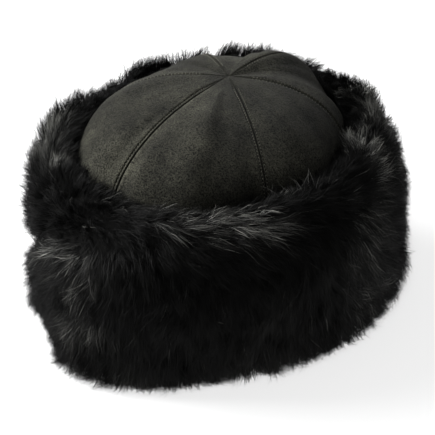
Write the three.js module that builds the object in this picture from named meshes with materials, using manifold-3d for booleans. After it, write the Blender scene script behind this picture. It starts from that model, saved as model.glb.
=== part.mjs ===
// A winter hat: a crown of six suede gores inside a deep turned-up cuff of long black fur.
// Millimetres, +Z up. The hat stands on its cuff at z = 0 and its front is towards -Y.
import * as THREE from "three";
import { mergeVertices } from "three/addons/utils/BufferGeometryUtils.js";
import Module from "manifold-3d";

const wasm = await Module();
wasm.setup();

// Driving dimensions of the crown. Its wall is an oval, and its dome narrows to an apex behind the middle.
const crown = {
  halfWidth: 84,
  halfLength: 104,
  height: 164,
  shoulder: 100,
  hem: 2,
  apexX: -7,
  apexY: 24,
  outlinePower: 2.75,
  risePower: 2.6,
  wall: 2,
};

// The crown sinks a little round its apex, and the seam allowance lies in a raised welt beside each seam.
const dimple = { depth: 1.5, radius: 20 };
const welt = { width: 3.2, height: 1, mostOfGore: 0.2 };
const seamGap = 0.3;
const tipGap = 0.4;
const cuffGap = 0.5;

// Where each gore starts and ends round the crown, in degrees from +X, counterclockwise from above.
const gores = [
  { name: "gore_front_left", from: -90, to: -21 },
  { name: "gore_side_left", from: -21, to: 34 },
  { name: "gore_back_left", from: 34, to: 90 },
  { name: "gore_back_right", from: 90, to: 146 },
  { name: "gore_side_right", from: 146, to: 201 },
  { name: "gore_front_right", from: 201, to: 270 },
];
const goreColumns = [0.26, 0.5, 0.74];
const domeRows = 10;
const wallRows = 2;

// How far the suede swells out of the plain dome halfway down, by direction in degrees. The front gores
// are full, and the back ones sag like a tent between the ridges of their seams.
const swells = [
  { at: -90, height: 0.2 },
  { at: -73, height: 2.4 },
  { at: -55, height: 3 },
  { at: -38, height: 2.4 },
  { at: -21, height: 0.2 },
  { at: -7, height: 2.2 },
  { at: 7, height: 3 },
  { at: 20, height: 2 },
  { at: 34, height: 0.4 },
  { at: 48, height: 1.2 },
  { at: 57, height: -4.6 },
  { at: 66, height: -4.4 },
  { at: 76, height: -0.6 },
  { at: 86, height: 4.6 },
  { at: 98, height: 4.8 },
  { at: 108, height: 0.4 },
  { at: 122, height: -3.8 },
  { at: 135, height: -2.6 },
  { at: 148, height: 0.2 },
  { at: 160, height: -0.2 },
  { at: 171, height: -2.6 },
  { at: 184, height: -1.4 },
  { at: 196, height: 1.4 },
  { at: 210, height: 3.2 },
  { at: 228, height: 3 },
  { at: 250, height: 2.4 },
];
const swellReach = 6;

// Driving dimensions of the cuff. The pelt's backing lies furDepth inside the outer reach of the fur.
const furDepth = 8;
const cuffReachOfRow = 18;
const trim = 400;

// The fur's outer reach beyond the crown's wall, at its hem, its middle and its shoulder, and the
// height of its crest, by direction in degrees.
const cuffShape = [
  { at: -165, hem: 33, middle: 35, shoulder: 37, crest: 137 },
  { at: -135, hem: 30, middle: 33, shoulder: 33, crest: 143 },
  { at: -105, hem: 34, middle: 35, shoulder: 38, crest: 141 },
  { at: -75, hem: 27, middle: 35, shoulder: 38, crest: 139 },
  { at: -45, hem: 14, middle: 36, shoulder: 40, crest: 138 },
  { at: -15, hem: 15, middle: 36, shoulder: 40, crest: 138 },
  { at: 15, hem: 30, middle: 40, shoulder: 41, crest: 138 },
  { at: 45, hem: 40, middle: 42, shoulder: 40, crest: 138 },
  { at: 75, hem: 38, middle: 42, shoulder: 40, crest: 138 },
  { at: 105, hem: 36, middle: 41, shoulder: 37, crest: 138 },
  { at: 135, hem: 35, middle: 40, shoulder: 36, crest: 141 },
  { at: 165, hem: 36, middle: 40, shoulder: 38, crest: 137 },
];

// The backing's section, from the inner edge of its foot round the outside to the crown again.
// out is the share of its reach beyond the crown's wall, and up the share of its crest's height.
const backing = [
  { out: 0, up: 0 },
  { out: 0.75, up: 0 },
  { out: 0.94, up: 0.05 },
  { out: 1, up: 0.2 },
  { out: 1, up: 0.5 },
  { out: 0.98, up: 0.76 },
  { out: 0.82, up: 0.91 },
  { out: 0.55, up: 1 },
  { out: 0.2, up: 1 },
  { out: -0.05, up: 0.93 },
  { out: 0, up: 0.78 },
];

// Rows of locks up the backing: from the hem, over the crest and down to the crown. out and up are
// shares as above, lean is the angle of the skin there, 0 facing outwards and 90 facing up, and
// over is how far the combing gives way to falling over the crest towards the crown.
const lockRows = [
  { out: 0.86, up: 0.05, lean: -30, length: 19, stand: 20, over: 0 },
  { out: 0.98, up: 0.16, lean: -8, length: 27, stand: 20, over: 0 },
  { out: 1, up: 0.3, lean: 0, length: 32, stand: 22, over: 0 },
  { out: 1, up: 0.44, lean: 0, length: 32, stand: 22, over: 0 },
  { out: 1, up: 0.58, lean: 2, length: 32, stand: 22, over: 0 },
  { out: 0.98, up: 0.72, lean: 8, length: 32, stand: 21, over: 0 },
  { out: 0.88, up: 0.86, lean: 26, length: 28, stand: 18, over: 0 },
  { out: 0.62, up: 0.97, lean: 64, length: 23, stand: 18, over: 0.25 },
  { out: 0.26, up: 1, lean: 92, length: 23, stand: 27, over: 1 },
];
const locksInRow = 22;
const lock = { width: 34, thickness: 8, curl: 5, spread: 0.16 };
const lockStations = [
  { along: -0.15, width: 0.7, thickness: 0.6 },
  { along: 0.45, width: 1, thickness: 1 },
];

// Which way each part of the fur is combed: turn 0 is counterclockwise round the hat, -90 straight
// down and 90 straight up, at a direction and a share of the crest's height.
const combing = [
  { at: -50, up: 1, turn: -20 },
  { at: -90, up: 0.9, turn: -55 },
  { at: -125, up: 0.8, turn: -115 },
  { at: -150, up: 0.95, turn: -165 },
  { at: -125, up: 0.4, turn: -130 },
  { at: -95, up: 0.3, turn: -65 },
  { at: -50, up: 0.4, turn: -95 },
  { at: -15, up: 0.5, turn: -130 },
  { at: 10, up: 0.3, turn: -90 },
  { at: 30, up: 0.45, turn: -50 },
  { at: 25, up: 0.95, turn: -80 },
  { at: 75, up: 0.6, turn: -110 },
  { at: 115, up: 0.6, turn: -75 },
  { at: 155, up: 0.6, turn: -105 },
  { at: -175, up: 0.5, turn: -80 },
];
const combingReach = 24;

const radians = THREE.MathUtils.degToRad;
const lerp = THREE.MathUtils.lerp;

// A number from 0 to 1 that scatters with its seed and is the same in each run.
function scatter(seed) {
  const wave = Math.sin(seed * 12.9898 + 4.1414) * 43758.5453;
  return wave - Math.floor(wave);
}

// The shortest turn from one direction to another, in degrees.
function turnBetween(from, to) {
  return THREE.MathUtils.euclideanModulo(to - from + 180, 360) - 180;
}

// The crown's oval wall at an angle in radians, moved outwards by a distance.
function wallPoint(angle, outwards, z) {
  const { halfWidth, halfLength } = crown;
  const normal = new THREE.Vector3(Math.cos(angle) / halfWidth, Math.sin(angle) / halfLength, 0);
  const wall = new THREE.Vector3(halfWidth * Math.cos(angle), halfLength * Math.sin(angle), z);
  return wall.addScaledVector(normal.normalize(), outwards);
}

// The dome with no puffs or welts. rise runs from 0 at the apex to 1 at the shoulder.
function domePoint(angle, rise) {
  const swing = (rise * Math.PI) / 2;
  const outline = Math.sin(swing) ** (2 / crown.outlinePower);
  const lift = Math.max(Math.cos(swing), 0) ** (2 / crown.risePower);
  const wall = wallPoint(angle, 0, 0);
  const z = lerp(crown.shoulder, crown.height, lift);
  return new THREE.Vector3(lerp(crown.apexX, wall.x, outline), lerp(crown.apexY, wall.y, outline), z);
}

// The dome's outward direction, from two short steps over it.
function domeNormal(angle, rise) {
  const step = 0.02;
  const low = Math.max(rise - step, 0.01);
  const down = domePoint(angle, Math.min(rise + step, 1)).sub(domePoint(angle, low));
  const level = Math.max(rise, low);
  const round = domePoint(angle + step, level).sub(domePoint(angle - step, level));
  return down.cross(round).normalize();
}

// How deep the crown sinks towards its apex, at a distance from it.
function dimpleDepth(fromApex) {
  return dimple.depth * Math.exp(-((fromApex / dimple.radius) ** 2));
}

// A column of a table by direction, smoothly between its rows.
function smoothly(table, column, angle, reach) {
  const degrees = THREE.MathUtils.radToDeg(angle);
  let sum = 0;
  let weights = 0;
  for (const row of table) {
    const weight = Math.exp(-((turnBetween(row.at, degrees) / reach) ** 2)) + 1e-9;
    sum += weight * row[column];
    weights += weight;
  }
  return sum / weights;
}

// How far the suede swells out of the plain dome, at an angle and a share down the dome.
function swellAt(angle, rise) {
  return smoothly(swells, "height", angle, swellReach) * Math.sin(Math.PI * rise) ** 0.8;
}

// How far a gore swells out or its welt stands up, at an angle, a share across it and a share down it.
function goreRelief(angle, across, rise) {
  const fade = Math.min(1, 4 * (1 - rise));
  const welted = rise === 0 || across === 0 || across === 1;
  return swellAt(angle, rise) + (welted ? welt.height * fade : 0);
}

// The columns of a gore: its two seams, the inner edges of its welts and the columns between.
function goreShares(width) {
  const edge = Math.min(welt.width / width, welt.mostOfGore);
  return [0, edge, ...goreColumns, 1 - edge, 1];
}

// One triangle, unless two of its corners are the same point.
function addTriangle(corners, a, b, c) {
  if (a.distanceTo(b) > 1e-4 && b.distanceTo(c) > 1e-4 && c.distanceTo(a) > 1e-4) {
    corners.push(...a.toArray(), ...b.toArray(), ...c.toArray());
  }
}

// The faces between two rows of points.
function addStrip(corners, upper, lower) {
  for (let i = 0; i + 1 < upper.length; i += 1) {
    addTriangle(corners, upper[i], lower[i], lower[i + 1]);
    addTriangle(corners, upper[i], lower[i + 1], upper[i + 1]);
  }
}

// The faces over a grid of points, row by row.
function addGrid(corners, rows) {
  for (let i = 0; i + 1 < rows.length; i += 1) {
    addStrip(corners, rows[i], rows[i + 1]);
  }
}

function geometryOf(corners) {
  const positions = new THREE.BufferAttribute(new Float32Array(corners), 3);
  return new THREE.BufferGeometry().setAttribute("position", positions);
}

// The direction away from a seam, level and square to it, towards increasing angles.
function seamNormal(angle) {
  const wall = wallPoint(angle, 0, 0);
  return new THREE.Vector3(crown.apexY - wall.y, wall.x - crown.apexX, 0).normalize();
}

// How far down the gore a row lies: 0 at the apex and 1 at the shoulder, with closer rows at the apex.
function riseOf(row) {
  return (Math.min(row, domeRows) / domeRows) ** 1.25;
}

// The tip of a gore, just clear of both its seams.
function tipPoint(from, to) {
  const inwards = seamNormal(from).sub(seamNormal(to)).setLength(tipGap);
  return new THREE.Vector3(crown.apexX, crown.apexY, crown.height).add(inwards);
}

// A row of a gore's points, as pairs on its outer and its inner face.
function goreRow(from, to, row) {
  const rise = riseOf(row);
  const drop = ((crown.shoulder - crown.hem) * Math.max(row - domeRows, 0)) / wallRows;
  const width = domePoint(from, rise).distanceTo(domePoint(to, rise));
  return goreShares(width).map((across) => {
    const angle = lerp(from, to, across);
    const point = row === 0 ? tipPoint(from, to) : domePoint(angle, rise);
    const normal = row === 0 ? new THREE.Vector3(0, 0, 1) : domeNormal(angle, rise);
    if (rise === 1) normal.setZ(0).normalize();
    const fromApex = Math.hypot(point.x - crown.apexX, point.y - crown.apexY);
    if (row > 0 && across === 0) point.addScaledVector(seamNormal(from), seamGap / 2);
    if (row > 0 && across === 1) point.addScaledVector(seamNormal(to), -seamGap / 2);
    point.z -= drop;
    point.addScaledVector(normal, -dimpleDepth(fromApex));
    return {
      outer: point.clone().addScaledVector(normal, goreRelief(angle, across, rise)),
      inner: point.clone().addScaledVector(normal, Math.min(swellAt(angle, rise), 0) - crown.wall),
    };
  });
}

// One gore: a wall from the apex over the shoulder to the hem, between two seams.
function goreGeometry(gore) {
  const rows = [];
  for (let row = 0; row <= domeRows + wallRows; row += 1) {
    rows.push(goreRow(radians(gore.from), radians(gore.to), row));
  }
  const outer = rows.map((row) => row.map((pair) => pair.outer));
  const inner = rows.map((row) => row.map((pair) => pair.inner));
  return shellGeometry(outer, inner);
}

// A closed wall between an outer and an inner grid of points.
function shellGeometry(outer, inner) {
  const corners = [];
  const turned = (rows) => rows.map((row) => [...row].reverse());
  addGrid(corners, outer);
  addGrid(corners, turned(inner));
  addStrip(corners, inner[0], outer[0]);
  addStrip(corners, outer.at(-1), inner.at(-1));
  addGrid(corners, outer.map((row, i) => [inner[i][0], row[0]]));
  addGrid(corners, outer.map((row, i) => [row.at(-1), inner[i].at(-1)]));
  return geometryOf(corners);
}

// The directions of the gores' columns, all round.
function cuffColumns() {
  return gores.flatMap((gore) => {
    const from = radians(gore.from);
    const to = radians(gore.to);
    const shares = goreShares(domePoint(from, 1).distanceTo(domePoint(to, 1)));
    return shares.slice(0, -1).map((across) => lerp(from, to, across));
  });
}

// A column of the cuff's table in a direction.
function cuffSize(angle, column) {
  return smoothly(cuffShape, column, angle, cuffReachOfRow);
}

// The fur's reach in a direction at a share of its crest's height.
function cuffReach(angle, up) {
  const share = THREE.MathUtils.clamp(up / 0.8, 0, 1);
  const hem = cuffSize(angle, "hem") * (1 - share) * (1 - 2 * share);
  const middle = cuffSize(angle, "middle") * 4 * share * (1 - share);
  return hem + middle + cuffSize(angle, "shoulder") * share * (2 * share - 1);
}

// A point of the backing in a direction, at shares of its reach and crest.
function backingPoint(angle, out, up) {
  const reach = (cuffReach(angle, up) - furDepth) * out;
  const crest = cuffSize(angle, "crest") - furDepth;
  return wallPoint(angle, out === 0 ? cuffGap : reach, crest * up);
}

// The space the crown takes up, with the gap round it, which no lock of fur may enter.
function crownSpaceGeometry() {
  const rows = [];
  for (let row = 0; row <= domeRows + 1; row += 1) {
    const rise = Math.max(row / domeRows, 0.02);
    const onDome = Math.min(rise, 1);
    const fade = Math.min(1, 4 * (1 - onDome));
    const drop = row > domeRows ? crown.shoulder + trim / 8 : 0;
    rows.push(
      cuffColumns().map((angle) => {
        const normal = domeNormal(angle, onDome);
        if (onDome === 1) normal.setZ(0).normalize();
        const swell = Math.max(0, ...[-9, 0, 9].map((turn) => swellAt(angle + radians(turn), onDome)));
        const space = swell + welt.height * fade + seamGap;
        const point = domePoint(angle, onDome).addScaledVector(normal, space);
        return point.setZ(point.z - drop);
      }),
    );
  }
  const top = new THREE.Vector3(crown.apexX, crown.apexY, crown.height + trim / 100);
  const bottom = new THREE.Vector3(crown.apexX, crown.apexY, -trim / 8);
  const closed = rows.map((row) => [...row, row[0]]);
  const corners = [];
  const count = closed[0].length;
  addGrid(corners, [Array(count).fill(top), ...closed, Array(count).fill(bottom)]);
  return geometryOf(corners);
}

// The ring of the pelt's backing, which follows the gores' columns.
function backingGeometry() {
  const section = (angle) => backing.map((point) => backingPoint(angle, point.out, point.up));
  const columns = cuffColumns().map(section);
  const rows = [...columns, columns[0]].map((column) => [...column, column[0]]);
  const corners = [];
  addGrid(corners, rows);
  return geometryOf(corners);
}

// The way the fur is combed at a place, from the table's nearest rows.
function combedTurn(angle, up) {
  const degrees = THREE.MathUtils.radToDeg(angle);
  let east = 0;
  let north = 0;
  for (const row of combing) {
    const apart = Math.hypot(turnBetween(row.at, degrees), (up - row.up) * 70);
    const weight = Math.exp(-((apart / combingReach) ** 2)) + 1e-6;
    east += weight * Math.cos(radians(row.turn));
    north += weight * Math.sin(radians(row.turn));
  }
  return Math.atan2(north, east);
}

// The skin's own directions at a place on the backing: out of it, up it and counterclockwise along it.
function skinFrame(angle, lean) {
  const outwards = wallPoint(angle, 1, 0).sub(wallPoint(angle, 0, 0));
  const skin = outwards.clone().multiplyScalar(Math.cos(lean)).setZ(Math.sin(lean));
  const uphill = outwards.clone().multiplyScalar(-Math.sin(lean)).setZ(Math.cos(lean));
  return { skin, uphill, round: uphill.clone().cross(skin).negate() };
}

// One lock of fur: a bent spike with a ridge along its back, whose root lies inside the backing.
function lockGeometry(row, angle, seed) {
  const { skin, uphill, round } = skinFrame(angle, radians(row.lean));
  const combed = combedTurn(angle, row.up);
  const turn = lerp(combed, Math.PI / 2, row.over) + (scatter(seed) - 0.5) * 0.8;
  const stand = radians(row.stand + (scatter(seed + 0.3) - 0.5) * 10);
  const along = round
    .multiplyScalar(Math.cos(turn))
    .addScaledVector(uphill, Math.sin(turn))
    .multiplyScalar(Math.cos(stand))
    .addScaledVector(skin, Math.sin(stand));
  const across = along.clone().cross(skin).normalize();
  const face = across.clone().cross(along).normalize();
  const size = lerp(0.85, 1.15, scatter(seed + 0.7));
  const root = backingPoint(angle, row.out, row.up);
  const at = (share) =>
    root
      .clone()
      .addScaledVector(along, row.length * size * share)
      .addScaledVector(skin, -lock.curl * share * share);
  const rings = lockStations.map((station) => {
    const middle = at(station.along);
    const wide = across.clone().multiplyScalar((lock.width * size * station.width) / 2);
    const thick = face.clone().multiplyScalar((lock.thickness * size * station.thickness) / 2);
    const left = middle.clone().add(wide).sub(thick);
    return [left, middle.clone().add(thick), middle.clone().sub(wide).sub(thick), left];
  });
  const corners = [];
  addGrid(corners, [...rings, Array(4).fill(at(1))]);
  addTriangle(corners, rings[0][0], rings[0][1], rings[0][2]);
  return geometryOf(corners);
}

// A closed geometry as a solid, with its faces turned outwards.
function solidOf(geometry) {
  const bare = new THREE.BufferGeometry().setAttribute("position", geometry.getAttribute("position"));
  if (geometry.index) bare.setIndex(geometry.index);
  const merged = mergeVertices(bare, 1e-4);
  const solidFrom = (triVerts) =>
    new wasm.Manifold(
      new wasm.Mesh({ numProp: 3, vertProperties: merged.attributes.position.array, triVerts }),
    );
  const triVerts = new Uint32Array(merged.index.array);
  const solid = solidFrom(triVerts);
  return solid.volume() > 0 ? solid : solidFrom(triVerts.slice().reverse());
}

function geometryOfSolid(solid) {
  const mesh = solid.getMesh();
  const geometry = new THREE.BufferGeometry();
  geometry.setAttribute("position", new THREE.BufferAttribute(mesh.vertProperties, 3));
  return geometry.setIndex(new THREE.BufferAttribute(mesh.triVerts, 1));
}

// The largest body of a solid, without any scraps that were cut off it.
function largestBody(solid) {
  return solid.decompose().reduce((largest, body) => (body.volume() > largest.volume() ? body : largest));
}

// The cuff: the backing with its locks fused to it, cut level where the hat stands.
function cuffGeometry() {
  const solids = [solidOf(backingGeometry())];
  lockRows.forEach((row, level) => {
    for (let i = 0; i < locksInRow; i += 1) {
      const seed = level * 97 + i * 7 + 1;
      const offset = (level % 2) / 2 + (scatter(seed + 0.5) - 0.5) * lock.spread * 2;
      const angle = ((i + offset) / locksInRow) * 2 * Math.PI;
      solids.push(solidOf(lockGeometry(row, angle, seed)));
    }
  });
  const floor = new THREE.BoxGeometry(trim, trim, trim / 4).translate(0, 0, -trim / 8);
  const away = wasm.Manifold.union([solidOf(floor), solidOf(crownSpaceGeometry())]);
  const whole = wasm.Manifold.union(solids).simplify(0.8);
  return geometryOfSolid(largestBody(whole.subtract(away).simplify(0.15)));
}

const suede = new THREE.MeshStandardMaterial({ color: 0x3b3b35, roughness: 0.95, metalness: 0 });
const fur = new THREE.MeshStandardMaterial({ color: 0x121212, roughness: 0.7, metalness: 0 });

function namedMesh(name, geometry, material) {
  const mesh = new THREE.Mesh(geometry, material);
  mesh.name = name;
  return mesh;
}

const hat = new THREE.Group();
const crownGroup = new THREE.Group();
for (const gore of gores) {
  crownGroup.add(namedMesh(gore.name, goreGeometry(gore), suede));
}
hat.add(crownGroup, namedMesh("fur_cuff", cuffGeometry(), fur));

export default hat;
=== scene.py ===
"""A fur hat: six suede gores with stitched seams inside a deep cuff of black fur, in a studio."""

import logging
import math
from dataclasses import dataclass, replace
from enum import Enum

import bpy
import numpy as np
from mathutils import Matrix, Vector


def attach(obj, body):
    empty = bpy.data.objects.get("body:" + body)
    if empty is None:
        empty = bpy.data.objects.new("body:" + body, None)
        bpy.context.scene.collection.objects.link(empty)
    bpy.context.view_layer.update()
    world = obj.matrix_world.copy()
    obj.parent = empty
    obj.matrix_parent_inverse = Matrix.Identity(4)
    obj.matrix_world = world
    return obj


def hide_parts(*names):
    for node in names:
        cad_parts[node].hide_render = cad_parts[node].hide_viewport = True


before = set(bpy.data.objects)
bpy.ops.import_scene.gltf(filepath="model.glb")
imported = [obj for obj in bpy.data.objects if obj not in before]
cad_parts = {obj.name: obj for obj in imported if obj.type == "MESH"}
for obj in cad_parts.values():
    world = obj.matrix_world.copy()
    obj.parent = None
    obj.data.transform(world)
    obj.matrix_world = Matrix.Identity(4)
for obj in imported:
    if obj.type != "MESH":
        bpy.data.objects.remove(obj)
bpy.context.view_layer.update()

LOG = logging.getLogger("hat")

Array = np.ndarray
Colour = tuple[float, float, float]
Face = tuple[int, ...]

MM = 0.001
NOISE_CELLS = 64
# Millimetres over the pelt for one degree round the hat, and for the whole of its section.
MM_PER_DEGREE = 2.1
SECTION_LENGTH = 160
# How far the last trace of a zone fades over, in millimetres.
FAR_REACH = 40
# The UV map that holds each hair's tone and its share from root to tip.
BAKE_UV = "OFBake"
# The values on the suede's points that carry its painted shade and painted highlight,
# and what each says away from the seams and the painted shade.
SEAM_SHADING, PLAIN_SEAM_SHADING = "seam_shading", 0.2
PAINTED_LIGHT, PLAIN_PAINTED_LIGHT = "nap", 0.5


class Side(Enum):
    """The two sides of a seam, as the sign of the distance from it."""

    BEFORE = -1.0
    AFTER = 1.0


def unit(vectors: Array) -> Array:
    """Vectors scaled to length 1 along their last axis."""
    return vectors / np.maximum(np.linalg.norm(vectors, axis=-1, keepdims=True), 1e-9)


def turn_between(start: Array | float, end: Array) -> Array:
    """The shortest turn from one direction to another, in degrees."""
    return (end - start + 180.0) % 360.0 - 180.0


def grey(value: float) -> Colour:
    """A grey of one value."""
    return (value, value, value)


def smooth_noise(x: Array, y: Array, seed: int) -> Array:
    """Smooth random values over a plane, about one bump for each unit of x and y.

    Args:
        x: The places' first coordinates.
        y: Their second coordinates.
        seed: The seed of the randomness.

    Returns:
        A value from -1 to 1 for each place.
    """
    lattice = np.random.default_rng(seed).uniform(-1.0, 1.0, (NOISE_CELLS, NOISE_CELLS))
    column, row = np.floor(x).astype(int), np.floor(y).astype(int)
    across, along = x - column, y - row
    across, along = across**2 * (3 - 2 * across), along**2 * (3 - 2 * along)
    left, right = column % NOISE_CELLS, (column + 1) % NOISE_CELLS
    lower, upper = row % NOISE_CELLS, (row + 1) % NOISE_CELLS
    near = lattice[lower, left] * (1 - across) + lattice[lower, right] * across
    far = lattice[upper, left] * (1 - across) + lattice[upper, right] * across
    return near * (1 - along) + far * along


def smoothly(at: Array, values: Array, degrees: Array, reach: float) -> Array:
    """Spreads values that are known in some directions smoothly over the directions between.

    Args:
        at: The directions where the values are known, in degrees.
        values: The values there.
        degrees: The directions where they are wanted.
        reach: How far a value reaches round the hat, in degrees.

    Returns:
        The value in each wanted direction.
    """
    weights = np.exp(-((turn_between(at[:, None], degrees.ravel()[None]) / reach) ** 2))
    return ((weights * values[:, None]).sum(0) / weights.sum(0)).reshape(degrees.shape)


def grid_faces(
    rows: int, columns: int, start: int = 0, flip: bool = False, closed: bool = False
) -> list[Face]:
    """The quads over a grid of vertices that is stored row by row.

    Args:
        rows: How many rows of vertices there are.
        columns: How many vertices a row has.
        start: The number of the first vertex.
        flip: Whether the quads face the other way.
        closed: Whether the last row and column join the first.

    Returns:
        The vertices of each quad.
    """
    faces = []
    for i in range(rows if closed else rows - 1):
        for j in range(columns if closed else columns - 1):
            below, beside = (i + 1) % rows, (j + 1) % columns
            corners = ((i, j), (below, j), (below, beside), (i, beside))
            quad = tuple(start + row * columns + column for row, column in corners)
            faces.append(quad[::-1] if flip else quad)
    return faces


def linked(name: str, data: bpy.types.ID) -> bpy.types.Object:
    """Makes an object from its data and links it to the scene.

    Args:
        name: The object's name.
        data: Its mesh, light or camera.

    Returns:
        The new object.
    """
    thing = bpy.data.objects.new(name, data)
    bpy.context.scene.collection.objects.link(thing)
    return thing


def mesh_piece(name: str, points: Array, faces: list[Face]) -> bpy.types.Object:
    """Makes a smooth mesh object from points in millimetres.

    Args:
        name: The piece's name.
        points: One row of x, y, z for each vertex.
        faces: The vertices of each face.

    Returns:
        The new object, linked to the scene.
    """
    mesh = bpy.data.meshes.new(name)
    mesh.from_pydata((points * MM).tolist(), [], faces)
    mesh.polygons.foreach_set("use_smooth", np.ones(len(mesh.polygons), dtype=bool))
    mesh.update()
    return linked(name, mesh)


class Nodes:
    """A short way to build a material's node tree."""

    def __init__(self, name: str) -> None:
        """Starts a material whose output is one Principled shader.

        Args:
            name: The material's name.
        """
        self.material = bpy.data.materials.new(name)
        self.material.use_nodes = True
        self.tree = self.material.node_tree
        self.tree.nodes.clear()
        self.shader = self.add("ShaderNodeBsdfPrincipled")
        self.link(self.shader, "BSDF", self.add("ShaderNodeOutputMaterial"), "Surface")

    def add(self, kind: str, **values: float | str | tuple[float, ...]) -> bpy.types.Node:
        """Adds a node.

        Args:
            kind: The node's type.
            **values: What its inputs are set to, by their names with _ for a space.

        Returns:
            The new node.
        """
        node = self.tree.nodes.new(kind)
        for key, value in values.items():
            node.inputs[key.replace("_", " ")].default_value = value
        return node

    def link(self, source: bpy.types.Node, out: str, target: bpy.types.Node, into: str) -> None:
        """Joins an output of one node to an input of another."""
        self.tree.links.new(source.outputs[out], target.inputs[into])

    def noise(self, scale: float, detail: float, roughness: float = 0.5) -> bpy.types.Node:
        """Adds noise in object space.

        Args:
            scale: How many bumps there are to a metre.
            detail: How many finer layers it has.
            roughness: How strong these are.

        Returns:
            The noise node.
        """
        place = self.add("ShaderNodeTexCoord")
        node = self.add("ShaderNodeTexNoise", Scale=scale, Detail=detail, Roughness=roughness)
        self.link(place, "Object", node, "Vector")
        return node

    def ramp(
        self, source: bpy.types.Node, out: str, *stops: tuple[float, Colour]
    ) -> bpy.types.Node:
        """Adds a colour ramp that an output of another node runs along.

        Args:
            source: The other node.
            out: The name of its output.
            *stops: The position and the colour of each stop.

        Returns:
            The ramp's node.
        """
        node = self.add("ShaderNodeValToRGB")
        elements = node.color_ramp.elements
        while len(elements) < len(stops):
            elements.new(0.5)
        for element, (position, colour) in zip(elements, stops):
            element.position = position
            element.color = (*colour, 1.0)
        self.link(source, out, node, "Fac")
        return node

    def multiplied(self, ramp: bpy.types.Node, *factors: bpy.types.Node) -> bpy.types.Node:
        """Multiplies the colour of one ramp by those of others.

        Args:
            ramp: The first ramp.
            *factors: The ramps that it is multiplied by, one after another.

        Returns:
            The last mix node, whose Result is the product.
        """
        node, out = ramp, "Color"
        for factor in factors:
            mix = self.add("ShaderNodeMix")
            mix.data_type = "RGBA"
            mix.blend_type = "MULTIPLY"
            mix.inputs["Factor"].default_value = 1.0
            self.link(node, out, mix, "A")
            self.link(factor, "Color", mix, "B")
            node, out = mix, "Result"
        return node

    def roughen(self, source: bpy.types.Node, out: str, strength: float, height: float) -> None:
        """Gives the shader a bump that follows an output of another node.

        Args:
            source: The other node.
            out: The name of its output.
            strength: The bump's strength, from 0 to 1.
            height: The bump's height in metres.
        """
        bump = self.add("ShaderNodeBump", Strength=strength, Distance=height)
        self.link(source, out, bump, "Height")
        self.link(bump, "Normal", self.shader, "Normal")

    def surface(self, roughness: float, specular: float) -> None:
        """Sets the shader's roughness and specular level."""
        self.shader.inputs["Roughness"].default_value = roughness
        self.shader.inputs["Specular IOR Level"].default_value = specular


@dataclass(frozen=True)
class Speckle:
    """Noise as a factor between two values.

    scale is in bumps to a metre, and spread is half the part of the noise's range over which the
    factor goes from low to high.
    """

    scale: float
    low: float
    high: float
    spread: float = 0.22
    detail: float = 3.0
    roughness: float = 0.65

    def add_to(self, nodes: Nodes) -> bpy.types.Node:
        """Adds the speckle to a material.

        Args:
            nodes: The material's nodes.

        Returns:
            The ramp whose colour is the factor.
        """
        noise = nodes.noise(self.scale, self.detail, self.roughness)
        low, high = (0.5 - self.spread, grey(self.low)), (0.5 + self.spread, grey(self.high))
        return nodes.ramp(noise, "Fac", low, high)


@dataclass(frozen=True)
class SuedeFinish:
    """Dark suede: mottled pile, fine grain and a soft sheen at grazing angles.

    Its colour also holds painted shade in the seams' grooves, on the side away from the key light
    and at the rim under the fur, and a painted highlight on the seams' ridges.
    """

    dark: Colour = (0.0054, 0.0054, 0.0042)
    light: Colour = (0.0228, 0.0224, 0.0168)
    roughness: float = 0.95
    specular: float = 0.08
    sheen: float = 0.08
    sheen_roughness: float = 0.5
    # Factors for painted shade in the seams' grooves and a painted highlight on their ridges.
    groove_painted_shade: float = 0.02
    ridge_painted_highlight: float = 1.6
    # The factor at the deepest painted shade: on the side away from the key light and at the rim.
    deepest_painted_shade: float = 0.5
    mottling_scale: float = 30.0
    brushed: Speckle = Speckle(240.0, 0.84, 1.16)
    grain: Speckle = Speckle(1030.0, 0.3, 3.9, 0.13)
    grain_strength: float = 0.5
    grain_height: float = 0.0004

    def material(self) -> bpy.types.Material:
        """Builds the suede's material.

        Returns:
            The node material.
        """
        nodes = Nodes("suede")
        mottling = nodes.noise(self.mottling_scale, 5.0, 0.6)
        tone = nodes.ramp(mottling, "Fac", (0.3, self.dark), (0.7, self.light))
        brushed, grain = self.brushed.add_to(nodes), self.grain.add_to(nodes)
        # Painted shade in the seams' grooves and a painted highlight on their ridges.
        ridge, seam_shading = (0.0, self.ridge_painted_highlight), (1.0, self.groove_painted_shade)
        seam = self.by_value(nodes, SEAM_SHADING, (ridge, (PLAIN_SEAM_SHADING, 1.0), seam_shading))
        # Painted shade on the side away from the key light and at the rim under the fur.
        nap = self.by_value(nodes, PAINTED_LIGHT, ((0.0, self.deepest_painted_shade), (1.0, 1.0)))
        colour = nodes.multiplied(tone, brushed, grain, seam, nap)
        nodes.link(colour, "Result", nodes.shader, "Base Color")
        nodes.roughen(grain, "Color", self.grain_strength, self.grain_height)
        nodes.surface(self.roughness, self.specular)
        nodes.shader.inputs["Sheen Weight"].default_value = self.sheen
        nodes.shader.inputs["Sheen Roughness"].default_value = self.sheen_roughness
        return nodes.material

    @staticmethod
    def by_value(nodes: Nodes, name: str, stops: tuple[tuple[float, float], ...]) -> bpy.types.Node:
        """Adds a painted-light factor that follows one of the values on the suede's points.

        Args:
            nodes: The material's nodes.
            name: The value's name.
            stops: The factor at some of its values.

        Returns:
            The ramp whose colour is the factor.
        """
        value = nodes.add("ShaderNodeAttribute")
        value.attribute_name = name
        return nodes.ramp(value, "Fac", *((position, grey(factor)) for position, factor in stops))


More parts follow.
